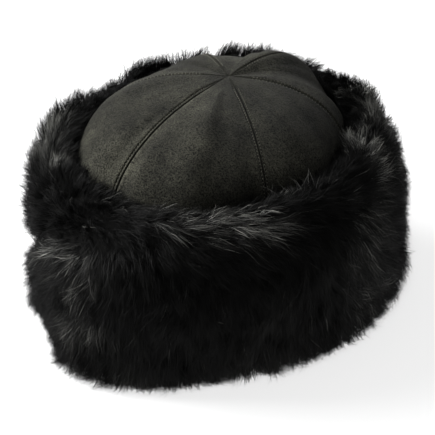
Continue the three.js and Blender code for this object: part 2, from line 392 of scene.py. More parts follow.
@dataclass(frozen=True)
class ThreadFinish:
    """Matt sewing thread, a shade off the suede, darker in random specks the size of its fibres."""

    colour: Colour = (0.240, 0.234, 0.196)
    between: float = 0.6
    fibre_scale: float = 1400.0
    roughness: float = 0.7
    specular: float = 0.3

    def material(self) -> bpy.types.Material:
        """Builds the thread's material.

        Returns:
            The node material.
        """
        nodes = Nodes("thread")
        fibre = nodes.noise(self.fibre_scale, 2.0)
        dark = tuple(part * self.between for part in self.colour)
        tone = nodes.ramp(fibre, "Fac", (0.35, dark), (0.65, self.colour))
        nodes.link(tone, "Color", nodes.shader, "Base Color")
        nodes.surface(self.roughness, self.specular)
        return nodes.material


@dataclass(frozen=True)
class HairFinish:
    """Glossy black hair whose tone varies from strand to strand.

    Its colour is darkened toward the root, a painted shade, and lightened at the tip, a painted
    highlight.
    """

    tones: tuple[float, ...] = (0.0013, 0.0026, 0.0065, 0.026, 0.09, 0.26)
    tint: Colour = (0.98, 1.0, 0.97)
    # Painted shade from the root up to root_end of the way out, and a painted highlight at the tip.
    root: float = 0.15
    root_end: float = 0.55
    tip: Colour = (1.2, 1.17, 1.1)
    roughness: float = 0.5
    specular: float = 0.08

    def tinted(self, value: float) -> Colour:
        """A grey of one value with the hair's tint."""
        return tuple(value * part for part in self.tint)

    def material(self) -> bpy.types.Material:
        """Builds the hair's material, which reads each hair's tone and share from the UV map.

        Returns:
            The node material.
        """
        nodes = Nodes("fur_hair")
        place = nodes.add("ShaderNodeUVMap")
        place.uv_map = BAKE_UV
        split = nodes.add("ShaderNodeSeparateXYZ")
        nodes.link(place, "UV", split, "Vector")
        last = len(self.tones) - 1
        tones = ((i / last, self.tinted(value)) for i, value in enumerate(self.tones))
        tone = nodes.ramp(split, "X", *tones)
        # Painted shade toward the root and a painted highlight at the tip.
        root, middle = (0.0, grey(self.root)), (self.root_end, grey(1.0))
        along = nodes.ramp(split, "Y", root, middle, (1.0, self.tip))
        nodes.link(nodes.multiplied(tone, along), "Result", nodes.shader, "Base Color")
        nodes.surface(self.roughness, self.specular)
        return nodes.material


@dataclass(frozen=True)
class UnderfurFinish:
    """The dense dark underfur below the hairs."""

    deep: Colour = (0.002, 0.002, 0.002)
    high: Colour = (0.008, 0.008, 0.0075)
    fluff_scale: float = 420.0
    fluff_strength: float = 0.8
    fluff_height: float = 0.001
    roughness: float = 0.95
    specular: float = 0.1

    def material(self) -> bpy.types.Material:
        """Builds the underfur's material.

        Returns:
            The node material.
        """
        nodes = Nodes("underfur")
        fluff = nodes.noise(self.fluff_scale, 4.0, 0.7)
        tone = nodes.ramp(fluff, "Fac", (0.3, self.deep), (0.7, self.high))
        nodes.link(tone, "Color", nodes.shader, "Base Color")
        nodes.roughen(fluff, "Fac", self.fluff_strength, self.fluff_height)
        nodes.surface(self.roughness, self.specular)
        return nodes.material


# How far the suede swells out of the plain dome halfway down, by direction in degrees, in mm.
SWELLS = (
    (-90, 0.2), (-73, 2.4), (-55, 3.0), (-38, 2.4), (-21, 0.2), (-7, 2.2), (7, 3.0), (20, 2.0),
    (34, 0.4), (48, 1.2), (57, -4.6), (66, -4.4), (76, -0.6), (86, 4.6), (98, 4.8), (108, 0.4),
    (122, -3.8), (135, -2.6), (148, 0.2), (160, -0.2), (171, -2.6), (184, -1.4), (196, 1.4),
    (210, 3.2), (228, 3.0), (250, 2.4),
)


@dataclass(frozen=True)
class CrownForm:
    """The plain form of the crown: an oval wall under a dome that narrows to an apex, in mm."""

    half_width: float = 84.0
    half_length: float = 104.0
    height: float = 164.0
    shoulder: float = 100.0
    hem: float = 2.0
    apex_x: float = -7.0
    apex_y: float = 24.0
    outline_power: float = 2.75
    rise_power: float = 2.6
    dimple: float = 1.5
    dimple_radius: float = 20.0
    swell_reach: float = 6.0
    swell_power: float = 0.8
    swell_room: float = 1.4

    def swell(self, angle: Array, rise: Array) -> Array:
        """How far the suede swells out of the plain dome.

        Args:
            angle: Angles round the apex in radians.
            rise: Shares down the dome.

        Returns:
            The swell at each place, in millimetres.
        """
        at, heights = np.array(SWELLS).T
        height = smoothly(at, heights, np.degrees(angle), self.swell_reach)
        return height * np.sin(np.pi * np.clip(rise, 0.0, 1.0)) ** self.swell_power

    def wall(self, angle: Array, outwards: Array | float, z: Array | float) -> Array:
        """Points beside the oval wall.

        Args:
            angle: Angles round the middle in radians.
            outwards: How far outside the wall the points lie.
            z: Their heights.

        Returns:
            The points.
        """
        across, along = np.cos(angle), np.sin(angle)
        normal = unit(np.stack([across / self.half_width, along / self.half_length], -1))
        x = self.half_width * across + normal[..., 0] * outwards
        y = self.half_length * along + normal[..., 1] * outwards
        return np.stack([x, y, np.broadcast_to(z, x.shape)], -1)

    def dome(self, angle: Array, rise: Array) -> Array:
        """Points on the dome.

        Args:
            angle: Angles round the apex in radians.
            rise: Shares down the dome, from 0 at the apex to 1 at the shoulder.

        Returns:
            The points.
        """
        swing = rise * math.pi / 2
        outline = np.sin(swing) ** (2 / self.outline_power)
        lift = np.maximum(np.cos(swing), 0.0) ** (2 / self.rise_power)
        x = self.apex_x + (self.half_width * np.cos(angle) - self.apex_x) * outline
        y = self.apex_y + (self.half_length * np.sin(angle) - self.apex_y) * outline
        return np.stack([x, y, self.shoulder + (self.height - self.shoulder) * lift], -1)

    def normal(self, angle: Array, rise: Array) -> Array:
        """The dome's outward directions, from two short steps over it.

        Args:
            angle: Angles round the apex in radians.
            rise: Shares down the dome.

        Returns:
            A unit vector for each place.
        """
        step = 0.02
        high, low = np.maximum(rise - step, 0.01), np.minimum(rise + step, 1.0)
        down = self.dome(angle, low) - self.dome(angle, high)
        beside = np.maximum(rise, high)
        around = self.dome(angle + step, beside) - self.dome(angle - step, beside)
        normal = np.cross(down, around)
        normal[..., 2] = np.where(rise >= 1.0, 0.0, normal[..., 2])
        return unit(normal)

    def sunk(self, points: Array) -> Array:
        """How deep the crown sinks at points near its apex."""
        from_apex = np.hypot(points[..., 0] - self.apex_x, points[..., 1] - self.apex_y)
        return self.dimple * np.exp(-((from_apex / self.dimple_radius) ** 2))

    def share(self, x: Array, y: Array) -> Array:
        """How far points lie from the apex in plan, as a share of the way to the wall.

        Args:
            x: The points' x.
            y: Their y.

        Returns:
            The share of each point, which is above 1 outside the wall.
        """
        dx, dy = x - self.apex_x, y - self.apex_y
        wide, deep = self.half_width, self.half_length
        a = (dx / wide) ** 2 + (dy / deep) ** 2
        b = 2 * (dx * self.apex_x / wide**2 + dy * self.apex_y / deep**2)
        c = (self.apex_x / wide) ** 2 + (self.apex_y / deep) ** 2 - 1
        reach = (-b + np.sqrt(np.maximum(b**2 - 4 * a * c, 0.0))) / np.maximum(2 * a, 1e-9)
        return 1 / np.maximum(reach, 1e-6)

    def clear_of(self, points: Array, gap: Array, deepest: float = 5.0) -> Array:
        """Moves points so that none lies inside the dome.

        Args:
            points: The points.
            gap: How far outside the dome a moved point lies.
            deepest: The depth up to which a point is lifted out; a deeper one is pushed sideways.

        Returns:
            The moved points.
        """
        x, y, z = points[..., 0], points[..., 1], points[..., 2]
        share = self.share(x, y)
        swing = np.arcsin(np.clip(share, 0.0, 1.0) ** (self.outline_power / 2))
        lift = np.cos(swing) ** (2 / self.rise_power)
        surface = self.shoulder + (self.height - self.shoulder) * lift
        spread = np.maximum(share, 0.05)
        edge_x = (x - self.apex_x) / spread + self.apex_x
        edge_y = (y - self.apex_y) / spread + self.apex_y
        angle = np.arctan2(edge_y / self.half_length, edge_x / self.half_width)
        swell = np.maximum(self.swell(angle, swing * 2 / np.pi), 0.0)
        surface = surface + self.swell_room * swell
        over = share < 1.0
        deep = over & (surface - z > deepest)
        moved = points.copy()
        moved[..., 2] = np.where(over & ~deep, np.maximum(z, surface + gap), z)
        beside = self.wall(angle, gap, z)
        moved[..., :2] = np.where(deep[..., None], beside[..., :2], moved[..., :2])
        return moved


@dataclass(frozen=True)
class PaintedShadeForm:
    """Painted shade on the suede: a soft patch on the left side, away from the key light, and a
    painted shadow of the fur along the rim.

    Directions and reaches are in degrees, and rises are shares down the dome. The painted
    shadow at the rim starts higher up at the front.
    """

    patch_at: float = 30.0
    patch_reach: float = 50.0
    patch_rise: float = 0.2
    patch_height: float = 0.34
    patch_depth: float = 0.75
    front_at: float = -42.0
    front_reach: float = 34.0
    rim_rise: float = 0.72
    rim_height: float = 0.26
    rim_depth: float = 0.85

    def painted_lightness(self, angles: Array, rise: float, drop: float) -> Array:
        """How lit one row of a gore is painted: 1 outside the painted shade, less inside it.

        Args:
            angles: The row's angles round the apex in radians.
            rise: Its share down the dome.
            drop: How far below the dome it lies.

        Returns:
            A value from 0 to 1 for each place.
        """
        degrees = np.degrees(angles)
        aside = turn_between(self.patch_at, degrees) / self.patch_reach
        level = math.exp(-(((rise - self.patch_rise) / self.patch_height) ** 2))
        patch = self.patch_depth * np.exp(-(aside**2)) * level
        front = np.exp(-((turn_between(self.front_at, degrees) / self.front_reach) ** 2))
        below = rise - self.rim_rise + self.rim_height * front
        rim = np.clip(below / self.rim_height, 0.0, 1.0) if drop == 0 else 1.0
        return (1 - patch) * (1 - self.rim_depth * rim)


@dataclass(frozen=True)
class SeamProfile:
    """The relief beside a seam: its strength, and what lies at each distance from it, in mm.

    heights are in mm, and shades go from -1, a painted highlight on a ridge, to 1, painted shade
    at the bottom of the grooves.
    """

    strength: float = 1.0
    distances: tuple[float, ...] = (
        0.12, 0.4, 0.6, 0.72, 0.82, 1.2, 1.36, 1.64, 1.78, 2.3, 4.4, 8.0,
    )
    heights: tuple[float, ...] = (-0.6, -0.3, 0.55, 0.8, 0.9, 0.5, -0.3, -0.3, 0.4, 0.7, 0.4, 0.0)
    shades: tuple[float, ...] = (1.0, 1.0, 0.0, -0.8, -0.8, 0.0, 1.0, 1.0, 0.0, -0.3, 0.0, 0.0)
    stitch_line: float = 1.5

    def shade(self, distance: Array) -> Array:
        """The painted shade at distances from the seam; below 0 it is a painted highlight."""
        return self.strength * np.interp(distance, self.distances, self.shades)

    def height(self, distance: Array | float) -> Array:
        """The relief at distances from the seam."""
        return self.strength * np.interp(distance, self.distances, self.heights)

    @staticmethod
    def fade(rise: Array | float) -> Array | float:
        """How strong the relief is at shares down the dome: weaker at the apex and the shoulder."""
        return np.minimum(1.0, 6 * rise + 0.25) * np.minimum(1.0, 4 * (1 - rise))


# The front seam: one narrow ridge between two deep stitched grooves, with a painted highlight on
# the ridge and painted shade in the grooves.
FRONT_SEAM = SeamProfile(
    heights=(0.75, 0.9, 0.95, 0.9, 0.7, -0.4, -0.6, -0.6, -0.3, 0.75, 0.4, 0.0),
    shades=(-0.5, -0.9, -1.0, -1.0, -0.6, 1.0, 1.0, 1.0, 0.7, -1.0, -0.3, 0.0),
)


@dataclass(frozen=True)
class Fold:
    """A soft fold in a gore.

    across is its ridge's place across the gore, and before and after are how far it slopes on each
    side of the ridge, as shares. height is in mm, start and end are shares down the dome, and the
    ridge is sharp where roundness is near 1.
    """

    across: float
    before: float
    after: float
    height: float
    start: float
    end: float
    roundness: float = 2.0

    def relief(self, shares: Array, rise: float) -> Array:
        """How far the fold stands out along one row of the gore.

        Args:
            shares: Shares across the gore.
            rise: The row's share down the dome.

        Returns:
            The height at each place, in millimetres.
        """
        begun = min(max((rise - self.start) * 5, 0.0), 1.0)
        inside = begun * min(max((self.end - rise) * 4, 0.0), 1.0)
        apart = shares - self.across
        slope = np.where(apart < 0, apart / self.before, apart / self.after)
        return self.height * inside * np.exp(-(np.abs(slope) ** self.roundness))


@dataclass(frozen=True)
class Wrinkles:
    """Small wrinkles all over a gore.

    height is in mm, width in degrees round the hat, and count is how many lie down the dome.
    """

    height: float
    width: float
    count: float
    seed: int

    def relief(self, degrees: Array, rise: float) -> Array:
        """How far the wrinkles stand out along one row of the gore."""
        down = np.full_like(degrees, rise * self.count)
        return self.height * smooth_noise(degrees / self.width, down, self.seed)


@dataclass(frozen=True)
class GoreRow:
    """One row of a gore: its outer and inner points, the painted shade and highlight beside its
    seams, and its other painted shade.
    """

    outer: Array
    inner: Array
    seam_shading: Array
    nap: Array


@dataclass
class Gore:
    """One suede gore, from the apex over the shoulder to the hem, between two seams."""

    name: str
    start: float
    end: float
    start_seam: SeamProfile
    end_seam: SeamProfile
    folds: tuple[Fold, ...] = ()
    wrinkles: tuple[Wrinkles, ...] = (Wrinkles(0.6, 15, 4.2, 5), Wrinkles(0.3, 6, 9, 9))
    thickness: float = 2.0
    dome_rows: int = 52
    wall_rows: int = 4
    row_power: float = 1.15
    first_rise: float = 2e-5
    inner_step: int = 3
    middle_columns: int = 18
    seam_gap: float = 0.1
    seam_share: float = 0.36
    form: CrownForm = CrownForm()
    painted_shade_form: PaintedShadeForm = PaintedShadeForm()

    def columns(self, width: float) -> tuple[Array, Array]:
        """Spaces the columns of one row, close beside the seams and evenly between.

        Args:
            width: The row's length from seam to seam, in millimetres.

        Returns:
            The columns' shares across the gore, and their distances to the nearer seam.
        """
        near = np.array((self.seam_gap, *self.start_seam.distances[1:]))
        squeeze = min(1.0, self.seam_share * width / near[-1])
        before = near * squeeze / max(width, 1e-6)
        inner = np.linspace(before[-1], 1 - before[-1], self.middle_columns + 2)[1:-1]
        shares = np.concatenate([[0.0], before[1:], inner, 1 - before[:0:-1], [1.0]])
        distances = np.minimum(shares, 1 - shares) * width / max(squeeze, 1e-6)
        return shares, np.maximum(distances, self.seam_gap)

    def relief(self, shares: Array, distances: Array, angles: Array, rise: float) -> Array:
        """How far one row of the gore stands out of the plain dome.

        Args:
            shares: Shares across the gore.
            distances: Distances to the nearer seam.
            angles: Angles round the apex in radians.
            rise: The row's share down the dome.

        Returns:
            The height at each place, in millimetres.
        """
        before, after = self.start_seam.height(distances), self.end_seam.height(distances)
        welt = SeamProfile.fade(rise) * np.where(shares < 0.5, before, after)
        degrees = np.degrees(angles)
        soft = sum(wrinkles.relief(degrees, rise) for wrinkles in self.wrinkles)
        crossing = 1 - np.abs(2 * shares - 1) ** 1.8
        soft = soft * crossing * math.sin(math.pi * min(rise + 0.05, 1.0))
        for fold in self.folds:
            soft = soft + fold.relief(shares, rise)
        return self.form.swell(angles, np.full_like(angles, rise)) + welt + soft

    def seam_shading(self, shares: Array, distances: Array, rise: float) -> Array:
        """Painted shade in the seams' grooves and painted highlight on their ridges, for one row.

        Args:
            shares: Shares across the gore.
            distances: Distances to the nearer seam.
            rise: The row's share down the dome.

        Returns:
            A value from 0, a painted highlight on a ridge, over 0.2 on plain suede, to 1, painted
            shade deep in the grooves, for each place.
        """
        fade = min(1.0, 8 * (1 - rise)) * min(1.0, 12 * rise)
        before, after = self.start_seam.shade(distances), self.end_seam.shade(distances)
        shade = fade * np.where(shares < 0.5, before, after)
        plain = PLAIN_SEAM_SHADING
        return plain + np.where(shade > 0, (1 - plain) * shade, plain * shade)

    def row(self, index: int) -> GoreRow:
        """Builds one row of the gore.

        Args:
            index: The row's number, counted from the apex.

        Returns:
            The row's points and values.
        """
        rise = (min(index, self.dome_rows) / self.dome_rows) ** self.row_power
        rise = max(rise, self.first_rise)
        below = max(index - self.dome_rows, 0)
        drop = (self.form.shoulder - self.form.hem) * below / self.wall_rows
        start, end = math.radians(self.start), math.radians(self.end)
        ends = self.form.dome(np.array([start, end]), np.array([rise, rise]))
        shares, distances = self.columns(float(np.linalg.norm(ends[1] - ends[0])))
        angles = start + (end - start) * shares
        rises = np.full_like(angles, rise)
        points = self.form.dome(angles, rises)
        normals = self.form.normal(angles, rises)
        points = points - normals * self.form.sunk(points)[:, None]
        points[:, 2] -= drop
        relief = self.relief(shares, distances, angles, rise)
        sagged = np.minimum(self.form.swell(angles, rises), 0.0)
        return GoreRow(
            outer=points + normals * relief[:, None],
            inner=points + normals * (sagged - self.thickness)[:, None],
            seam_shading=self.seam_shading(shares, distances, rise),
            nap=self.painted_shade_form.painted_lightness(angles, rise, drop),
        )

    def build(self) -> bpy.types.Object:
        """Builds the gore's closed shell: a fine outer side and a coarse inner one.

        Returns:
            The gore's mesh object, with no material yet.
        """
        rows = [self.row(index) for index in range(self.dome_rows + self.wall_rows + 1)]
        outer = np.stack([row.outer for row in rows])
        count, width = outer.shape[:2]
        kept = sorted({*range(0, count, self.inner_step), count - 1})
        columns = sorted({*range(0, width, self.inner_step), width - 1})
        inner = np.stack([rows[i].inner[columns] for i in kept])
        start, across = count * width, len(columns)
        faces = grid_faces(count, width)
        faces += grid_faces(len(kept), across, start, flip=True)
        for edge, inner_edge in ((0, 0), (width - 1, across - 1)):
            rim = [i * width + edge for i in range(count)]
            back = [start + i * across + inner_edge for i in range(len(kept))]
            faces += self.rim_faces(rim, back, kept, flip=edge > 0)
        for row, inner_row in ((count - 1, len(kept) - 1), (0, 0)):
            rim = [row * width + j for j in range(width)]
            back = [start + inner_row * across + j for j in range(across)]
            faces += self.rim_faces(rim, back, columns, flip=row == 0)
        points = np.concatenate([outer.reshape(-1, 3), inner.reshape(-1, 3)])
        piece = mesh_piece(self.name, points, faces)
        for name, plain in ((SEAM_SHADING, PLAIN_SEAM_SHADING), (PAINTED_LIGHT, PLAIN_PAINTED_LIGHT)):
            values = np.full(len(points), plain, np.float32)
            values[:start] = np.stack([getattr(row, name) for row in rows]).ravel()
            piece.data.attributes.new(name, "FLOAT", "POINT").data.foreach_set("value", values)
        return piece

    @staticmethod
    def rim_faces(rim: list[int], back: list[int], kept: list[int], flip: bool) -> list[Face]:
        """Faces between a fine edge and the coarse edge behind it, one for each coarse step.

        Args:
            rim: The vertices of the fine edge.
            back: The vertices of the coarse edge.
            kept: The places on the fine edge that the coarse edge's vertices lie behind.
            flip: Whether the faces face the other way.

        Returns:
            The vertices of each face.
        """
        faces = []
        for j in range(len(kept) - 1):
            near = rim[kept[j] : kept[j + 1] + 1]
            face = (*near, back[j + 1], back[j])
            faces.append(face if flip else face[::-1])
        return faces


@dataclass
class Crown:
    """The six gores and the stitches beside their seams, with the stitches' sizes in mm."""

    suede: SuedeFinish = SuedeFinish()
    thread: ThreadFinish = ThreadFinish()
    stitch_length: float = 1.25
    stitch_pitch: float = 2.4
    stitch_width: float = 0.74
    stitch_rise: float = 0.6
    stitch_shoulder: float = 0.08
    stitch_depth: float = 0.5
    stitch_lift: float = 0.55
    stitch_start: float = 0.06
    stitch_end: float = 0.97
    stitch_samples: int = 400

    def gores(self) -> list[Gore]:
        """Lists the gores, with the folds that the photo shows.

        Returns:
            The gores, counterclockwise from the front seam.
        """
        strengths = (0.68, 0.7, 0.6, 0.5, 0.4)
        middle, left, back, far, right = (SeamProfile(strength) for strength in strengths)
        side_fold = Fold(0.35, 0.2, 0.12, 0.8, 0.1, 0.8)
        far_fold = Fold(0.5, 0.1, 0.14, 0.9, 0.1, 0.6)
        return [
            Gore("crown_gore_front_left", -90, -21, FRONT_SEAM, middle, self.front_folds()),
            Gore("crown_gore_side_left", -21, 34, middle, left, (side_fold,)),
            Gore("crown_gore_back_left", 34, 90, left, back),
            Gore("crown_gore_back_right", 90, 146, back, far),
            Gore("crown_gore_side_right", 146, 201, far, right, (far_fold,)),
            Gore("crown_gore_front_right", 201, 270, right, FRONT_SEAM, self.left_folds()),
        ]

    @staticmethod
    def front_folds() -> tuple[Fold, ...]:
        """The long fold down the front gore and the small ones beside it."""
        return (
            Fold(0.54, 0.3, 0.13, 5.0, 0.05, 1.2, 1.3),
            Fold(0.12, 0.04, 0.09, 1.4, 0.3, 1.1, 1.5),
            Fold(0.26, 0.06, 0.05, 0.6, 0.55, 1.1),
            Fold(0.82, 0.08, 0.1, 0.7, 0.3, 0.9),
        )

    @staticmethod
    def left_folds() -> tuple[Fold, ...]:
        """The soft folds of the gore left of the front seam in the photo."""
        return (
            Fold(0.2, 0.12, 0.16, 1.1, 0.15, 0.7),
            Fold(0.62, 0.14, 0.1, 0.9, 0.25, 0.8),
            Fold(0.85, 0.06, 0.05, -0.6, 0.3, 0.6),
        )

    def stitch_path(self, gore: Gore, side: Side) -> tuple[Array, Array]:
        """Places one row of stitches evenly along a seam.

        Args:
            gore: The gore that is stitched.
            side: The side of the seam that the gore lies on.

        Returns:
            The stitches' points and the crown's outward directions there.
        """
        after = side is Side.AFTER
        form, seam = gore.form, gore.start_seam if after else gore.end_seam
        rise = np.linspace(self.stitch_start, self.stitch_end, self.stitch_samples)
        angle = np.full_like(rise, math.radians(gore.start if after else gore.end))
        line = form.dome(angle, rise)
        along = unit(np.gradient(line, axis=0))
        normals = form.normal(angle, rise)
        sideways = unit(np.cross(normals, along)) * side.value
        height = seam.height(seam.stitch_line) + self.stitch_lift * seam.strength
        height = height * SeamProfile.fade(rise) - form.sunk(line)
        height = height + form.swell(angle, rise)
        line = line + sideways * seam.stitch_line + normals * height[:, None]
        steps = np.linalg.norm(np.diff(line, axis=0), axis=1)
        length = np.concatenate([[0.0], np.cumsum(steps)])
        places = np.arange(self.stitch_pitch, length[-1], self.stitch_pitch)
        at = np.stack([np.interp(places, length, line[:, k]) for k in range(3)], -1)
        out = np.stack([np.interp(places, length, normals[:, k]) for k in range(3)], -1)
        return at, unit(out)

    def stitches(self, gores: list[Gore]) -> bpy.types.Object:
        """Builds all the stitches, each a small pointed bead of thread.

        Args:
            gores: The gores whose two edges are stitched.

        Returns:
            One mesh object with every stitch.
        """
        points, faces = [], []
        for gore in gores:
            for side in Side:
                at, out = self.stitch_path(gore, side)
                along = unit(np.gradient(at, axis=0))
                across = unit(np.cross(out, along))
                for centre, tangent, sideways, up in zip(at, along, across, out):
                    base = len(points)
                    half, wide = tangent * self.stitch_length / 2, sideways * self.stitch_width / 2
                    top, low = centre + up * self.stitch_rise, up * -self.stitch_depth
                    edge = up * self.stitch_shoulder
                    points += [centre - half + low, centre + half + low]
                    points += [centre + wide + edge, top, centre - wide + edge, centre + low]
                    for j in range(4):
                        a, b = base + 2 + j, base + 2 + (j + 1) % 4
                        faces += [(base, b, a), (base + 1, a, b)]
        return mesh_piece("crown_seam_stitches", np.array(points), faces)

    def dress(
        self, gores: list[Gore], pieces: list[bpy.types.Object], stitches: bpy.types.Object
    ) -> None:
        """Gives the gores their suede, in place of their solids, and the stitches their thread.

        Args:
            gores: The gores.
            pieces: Their mesh objects.
            stitches: The mesh object of the stitches.
        """
        suede = self.suede.material()
        for gore, piece in zip(gores, pieces):
            piece.data.materials.append(suede)
            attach(piece, "root")
            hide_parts(gore.name.removeprefix("crown_"))
        stitches.data.materials.append(self.thread.material())
        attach(stitches, "root")

    def build(self) -> list[bpy.types.Object]:
        """Builds the gores and their stitches and dresses them.

        Returns:
            The crown's pieces.
        """
        gores = self.gores()
        pieces = [gore.build() for gore in gores]
        stitches = self.stitches(gores)
        self.dress(gores, pieces, stitches)
        return [*pieces, stitches]


@dataclass(frozen=True)
class CuffRow:
    """How far the fur reaches beyond the crown's wall, and its crest's height, in one direction.

    at is the direction in degrees, and the rest is in mm.
    """

    at: float
    hem: float
    middle: float
    shoulder: float
    crest: float


@dataclass(frozen=True)
class Zone:
    """How the fur is combed round one place.

    at is the direction in degrees and along the place from 0 at the hem to 1 beside the crown. turn
    is 0 counterclockwise round the hat and 90 up the pelt, lift the angle off it, and length a
    factor.
    """

    at: float
    along: float
    turn: float
    lift: float
    length: float = 1.0


@dataclass(frozen=True)
class Sheen:
    """A place of painted sheen, where the hairs' tones are raised as if they caught the light.

    at and along are as in a zone and radius is in mm. haze says how grey the sheen paints the
    fur there, and streaks how pale it paints its strands.
    """

    at: float
    along: float
    radius: float
    haze: float
    streaks: float


@dataclass(frozen=True)
class Wisps:
    """A few long pale hairs that stand out of the fur round one place, combed as in a zone."""

    at: float
    along: float
    turn: float
    lift: float
    count: int


CUFF_ROWS = tuple(
    CuffRow(*row)
    for row in (
        (-165, 33, 35, 37, 137), (-135, 30, 33, 33, 143), (-105, 34, 35, 38, 141),
        (-75, 27, 35, 38, 139), (-45, 14, 36, 40, 138), (-15, 15, 36, 40, 138),
        (15, 30, 40, 41, 138), (45, 40, 42, 40, 138), (75, 38, 42, 40, 138),
        (105, 36, 41, 37, 138), (135, 35, 40, 36, 141), (165, 36, 40, 38, 137),
    )
)

# The parting between the upper roll of fur and the fur below it, by direction and by share of the
# pelt's section.
PARTING = (
    (-150, 0.27), (-139, 0.33), (-126, 0.43), (-111, 0.54), (-104, 0.61), (-97, 0.66),
    (-91, 0.69), (-84, 0.71), (-70, 0.73),
)

ZONES = tuple(
    Zone(*row)
    for row in (
        (-58, 0.85, -12, 28), (-50, 0.84, -14, 26), (-40, 0.83, -18, 26), (-30, 0.83, -24, 28),
        (-23, 0.77, -38, 30), (-56, 0.78, -30, 30), (-41, 0.75, -36, 30), (-70, 0.87, -5, 38),
        (-76, 0.8, -25, 40), (-84, 0.82, 10, 52), (-91, 0.89, 40, 56), (-98, 0.81, 90, 66, 0.8),
        (-108, 0.79, 125, 62, 0.8), (-113, 0.66, 165, 54, 0.95), (-97, 0.73, 120, 62, 0.8),
        (-84, 0.74, -20, 38, 0.8), (-132, 0.7, 165, 54, 1.25), (-124, 0.86, 100, 44, 0.55),
        (-135, 0.82, 115, 44, 0.7), (-147, 0.86, 115, 58, 1.32), (-160, 0.85, 105, 60, 1.4),
        (-167, 0.84, 95, 60, 1.25), (-179, 0.85, 95, 50, 0.45), (174, 0.85, 92, 54, 0.62),
        (-110, 0.5, -150, 40), (-128, 0.5, -165, 46, 1.12), (-93, 0.57, -118, 42),
        (-81, 0.63, -80, 40), (-88, 0.5, -102, 32), (-77, 0.56, -84, 32), (-103, 0.4, -138, 36),
        (-100, 0.3, -120, 40), (-84, 0.1, -94, 58, 1.4), (-78, 0.28, -84, 36),
        (-66, 0.4, -95, 32), (-62, 0.58, -100, 32), (-62, 0.12, -88, 52, 1.1),
        (-45, 0.55, -92, 32), (-42, 0.36, -112, 34), (-42, 0.12, -88, 50, 1.05),
        (-22, 0.42, -124, 34), (-20, 0.6, -100, 34), (-18, 0.1, -80, 56, 1.25),
        (-8, 0.72, -60, 40), (-2, 0.45, -72, 42), (2, 0.12, -60, 56, 1.2), (14, 0.3, -44, 48),
        (18, 0.12, -50, 56, 1.25), (15, 0.6, -52, 46), (30, 0.42, -24, 50), (32, 0.65, -34, 50),
        (9, 0.82, 5, 52), (24, 0.83, 10, 66, 0.95), (34, 0.86, 15, 68, 0.9),
        (44, 0.82, 45, 66, 0.95), (56, 0.83, 90, 54, 0.62), (70, 0.85, 105, 58, 1.05),
        (85, 0.85, 110, 50, 0.66), (60, 0.6, -80, 44), (92, 0.72, -90, 40, 0.9),
        (102, 0.86, -130, 46, 0.7), (122, 0.86, 105, 56, 1.05), (147, 0.86, 95, 56, 1.05),
        (167, 0.85, 90, 60, 1.25), (157, 0.86, 90, 56, 1.0), (140, 0.7, -110, 40),
        (170, 0.68, -130, 40), (90, 0.4, -105, 38), (60, 0.3, -70, 40), (45, 0.12, -80, 54, 1.2),
        (85, 0.12, -90, 52, 1.15), (125, 0.5, -75, 38), (125, 0.14, -95, 50, 1.15),
        (160, 0.35, -110, 38), (-165, 0.5, -80, 38), (-150, 0.3, -95, 40),
        (175, 0.12, -88, 52, 1.15), (-111, 0.12, -108, 40, 0.5), (-116, 0.3, -124, 50, 1.3),
        (-96, 0.05, -88, 58, 1.55), (-145, 0.2, -110, 46, 1.0), (-100, 0.97, 60, 54, 0.8),
        (-80, 0.96, 35, 52, 0.75), (-58, 0.96, 15, 50, 0.75), (-36, 0.96, 5, 50, 0.75),
        (-15, 0.93, 60, 52, 0.6), (0, 0.93, 10, 60, 0.5), (15, 0.93, 0, 64, 0.5),
        (32, 0.94, 60, 70, 0.8), (50, 0.96, 140, 60, 0.6), (75, 0.96, -90, 60, 0.6),
        (120, 0.97, -90, 52, 0.65), (175, 0.96, -100, 64, 0.55), (-150, 0.96, -100, 66, 0.5),
        (-125, 0.97, 150, 66, 0.55),
    )
)

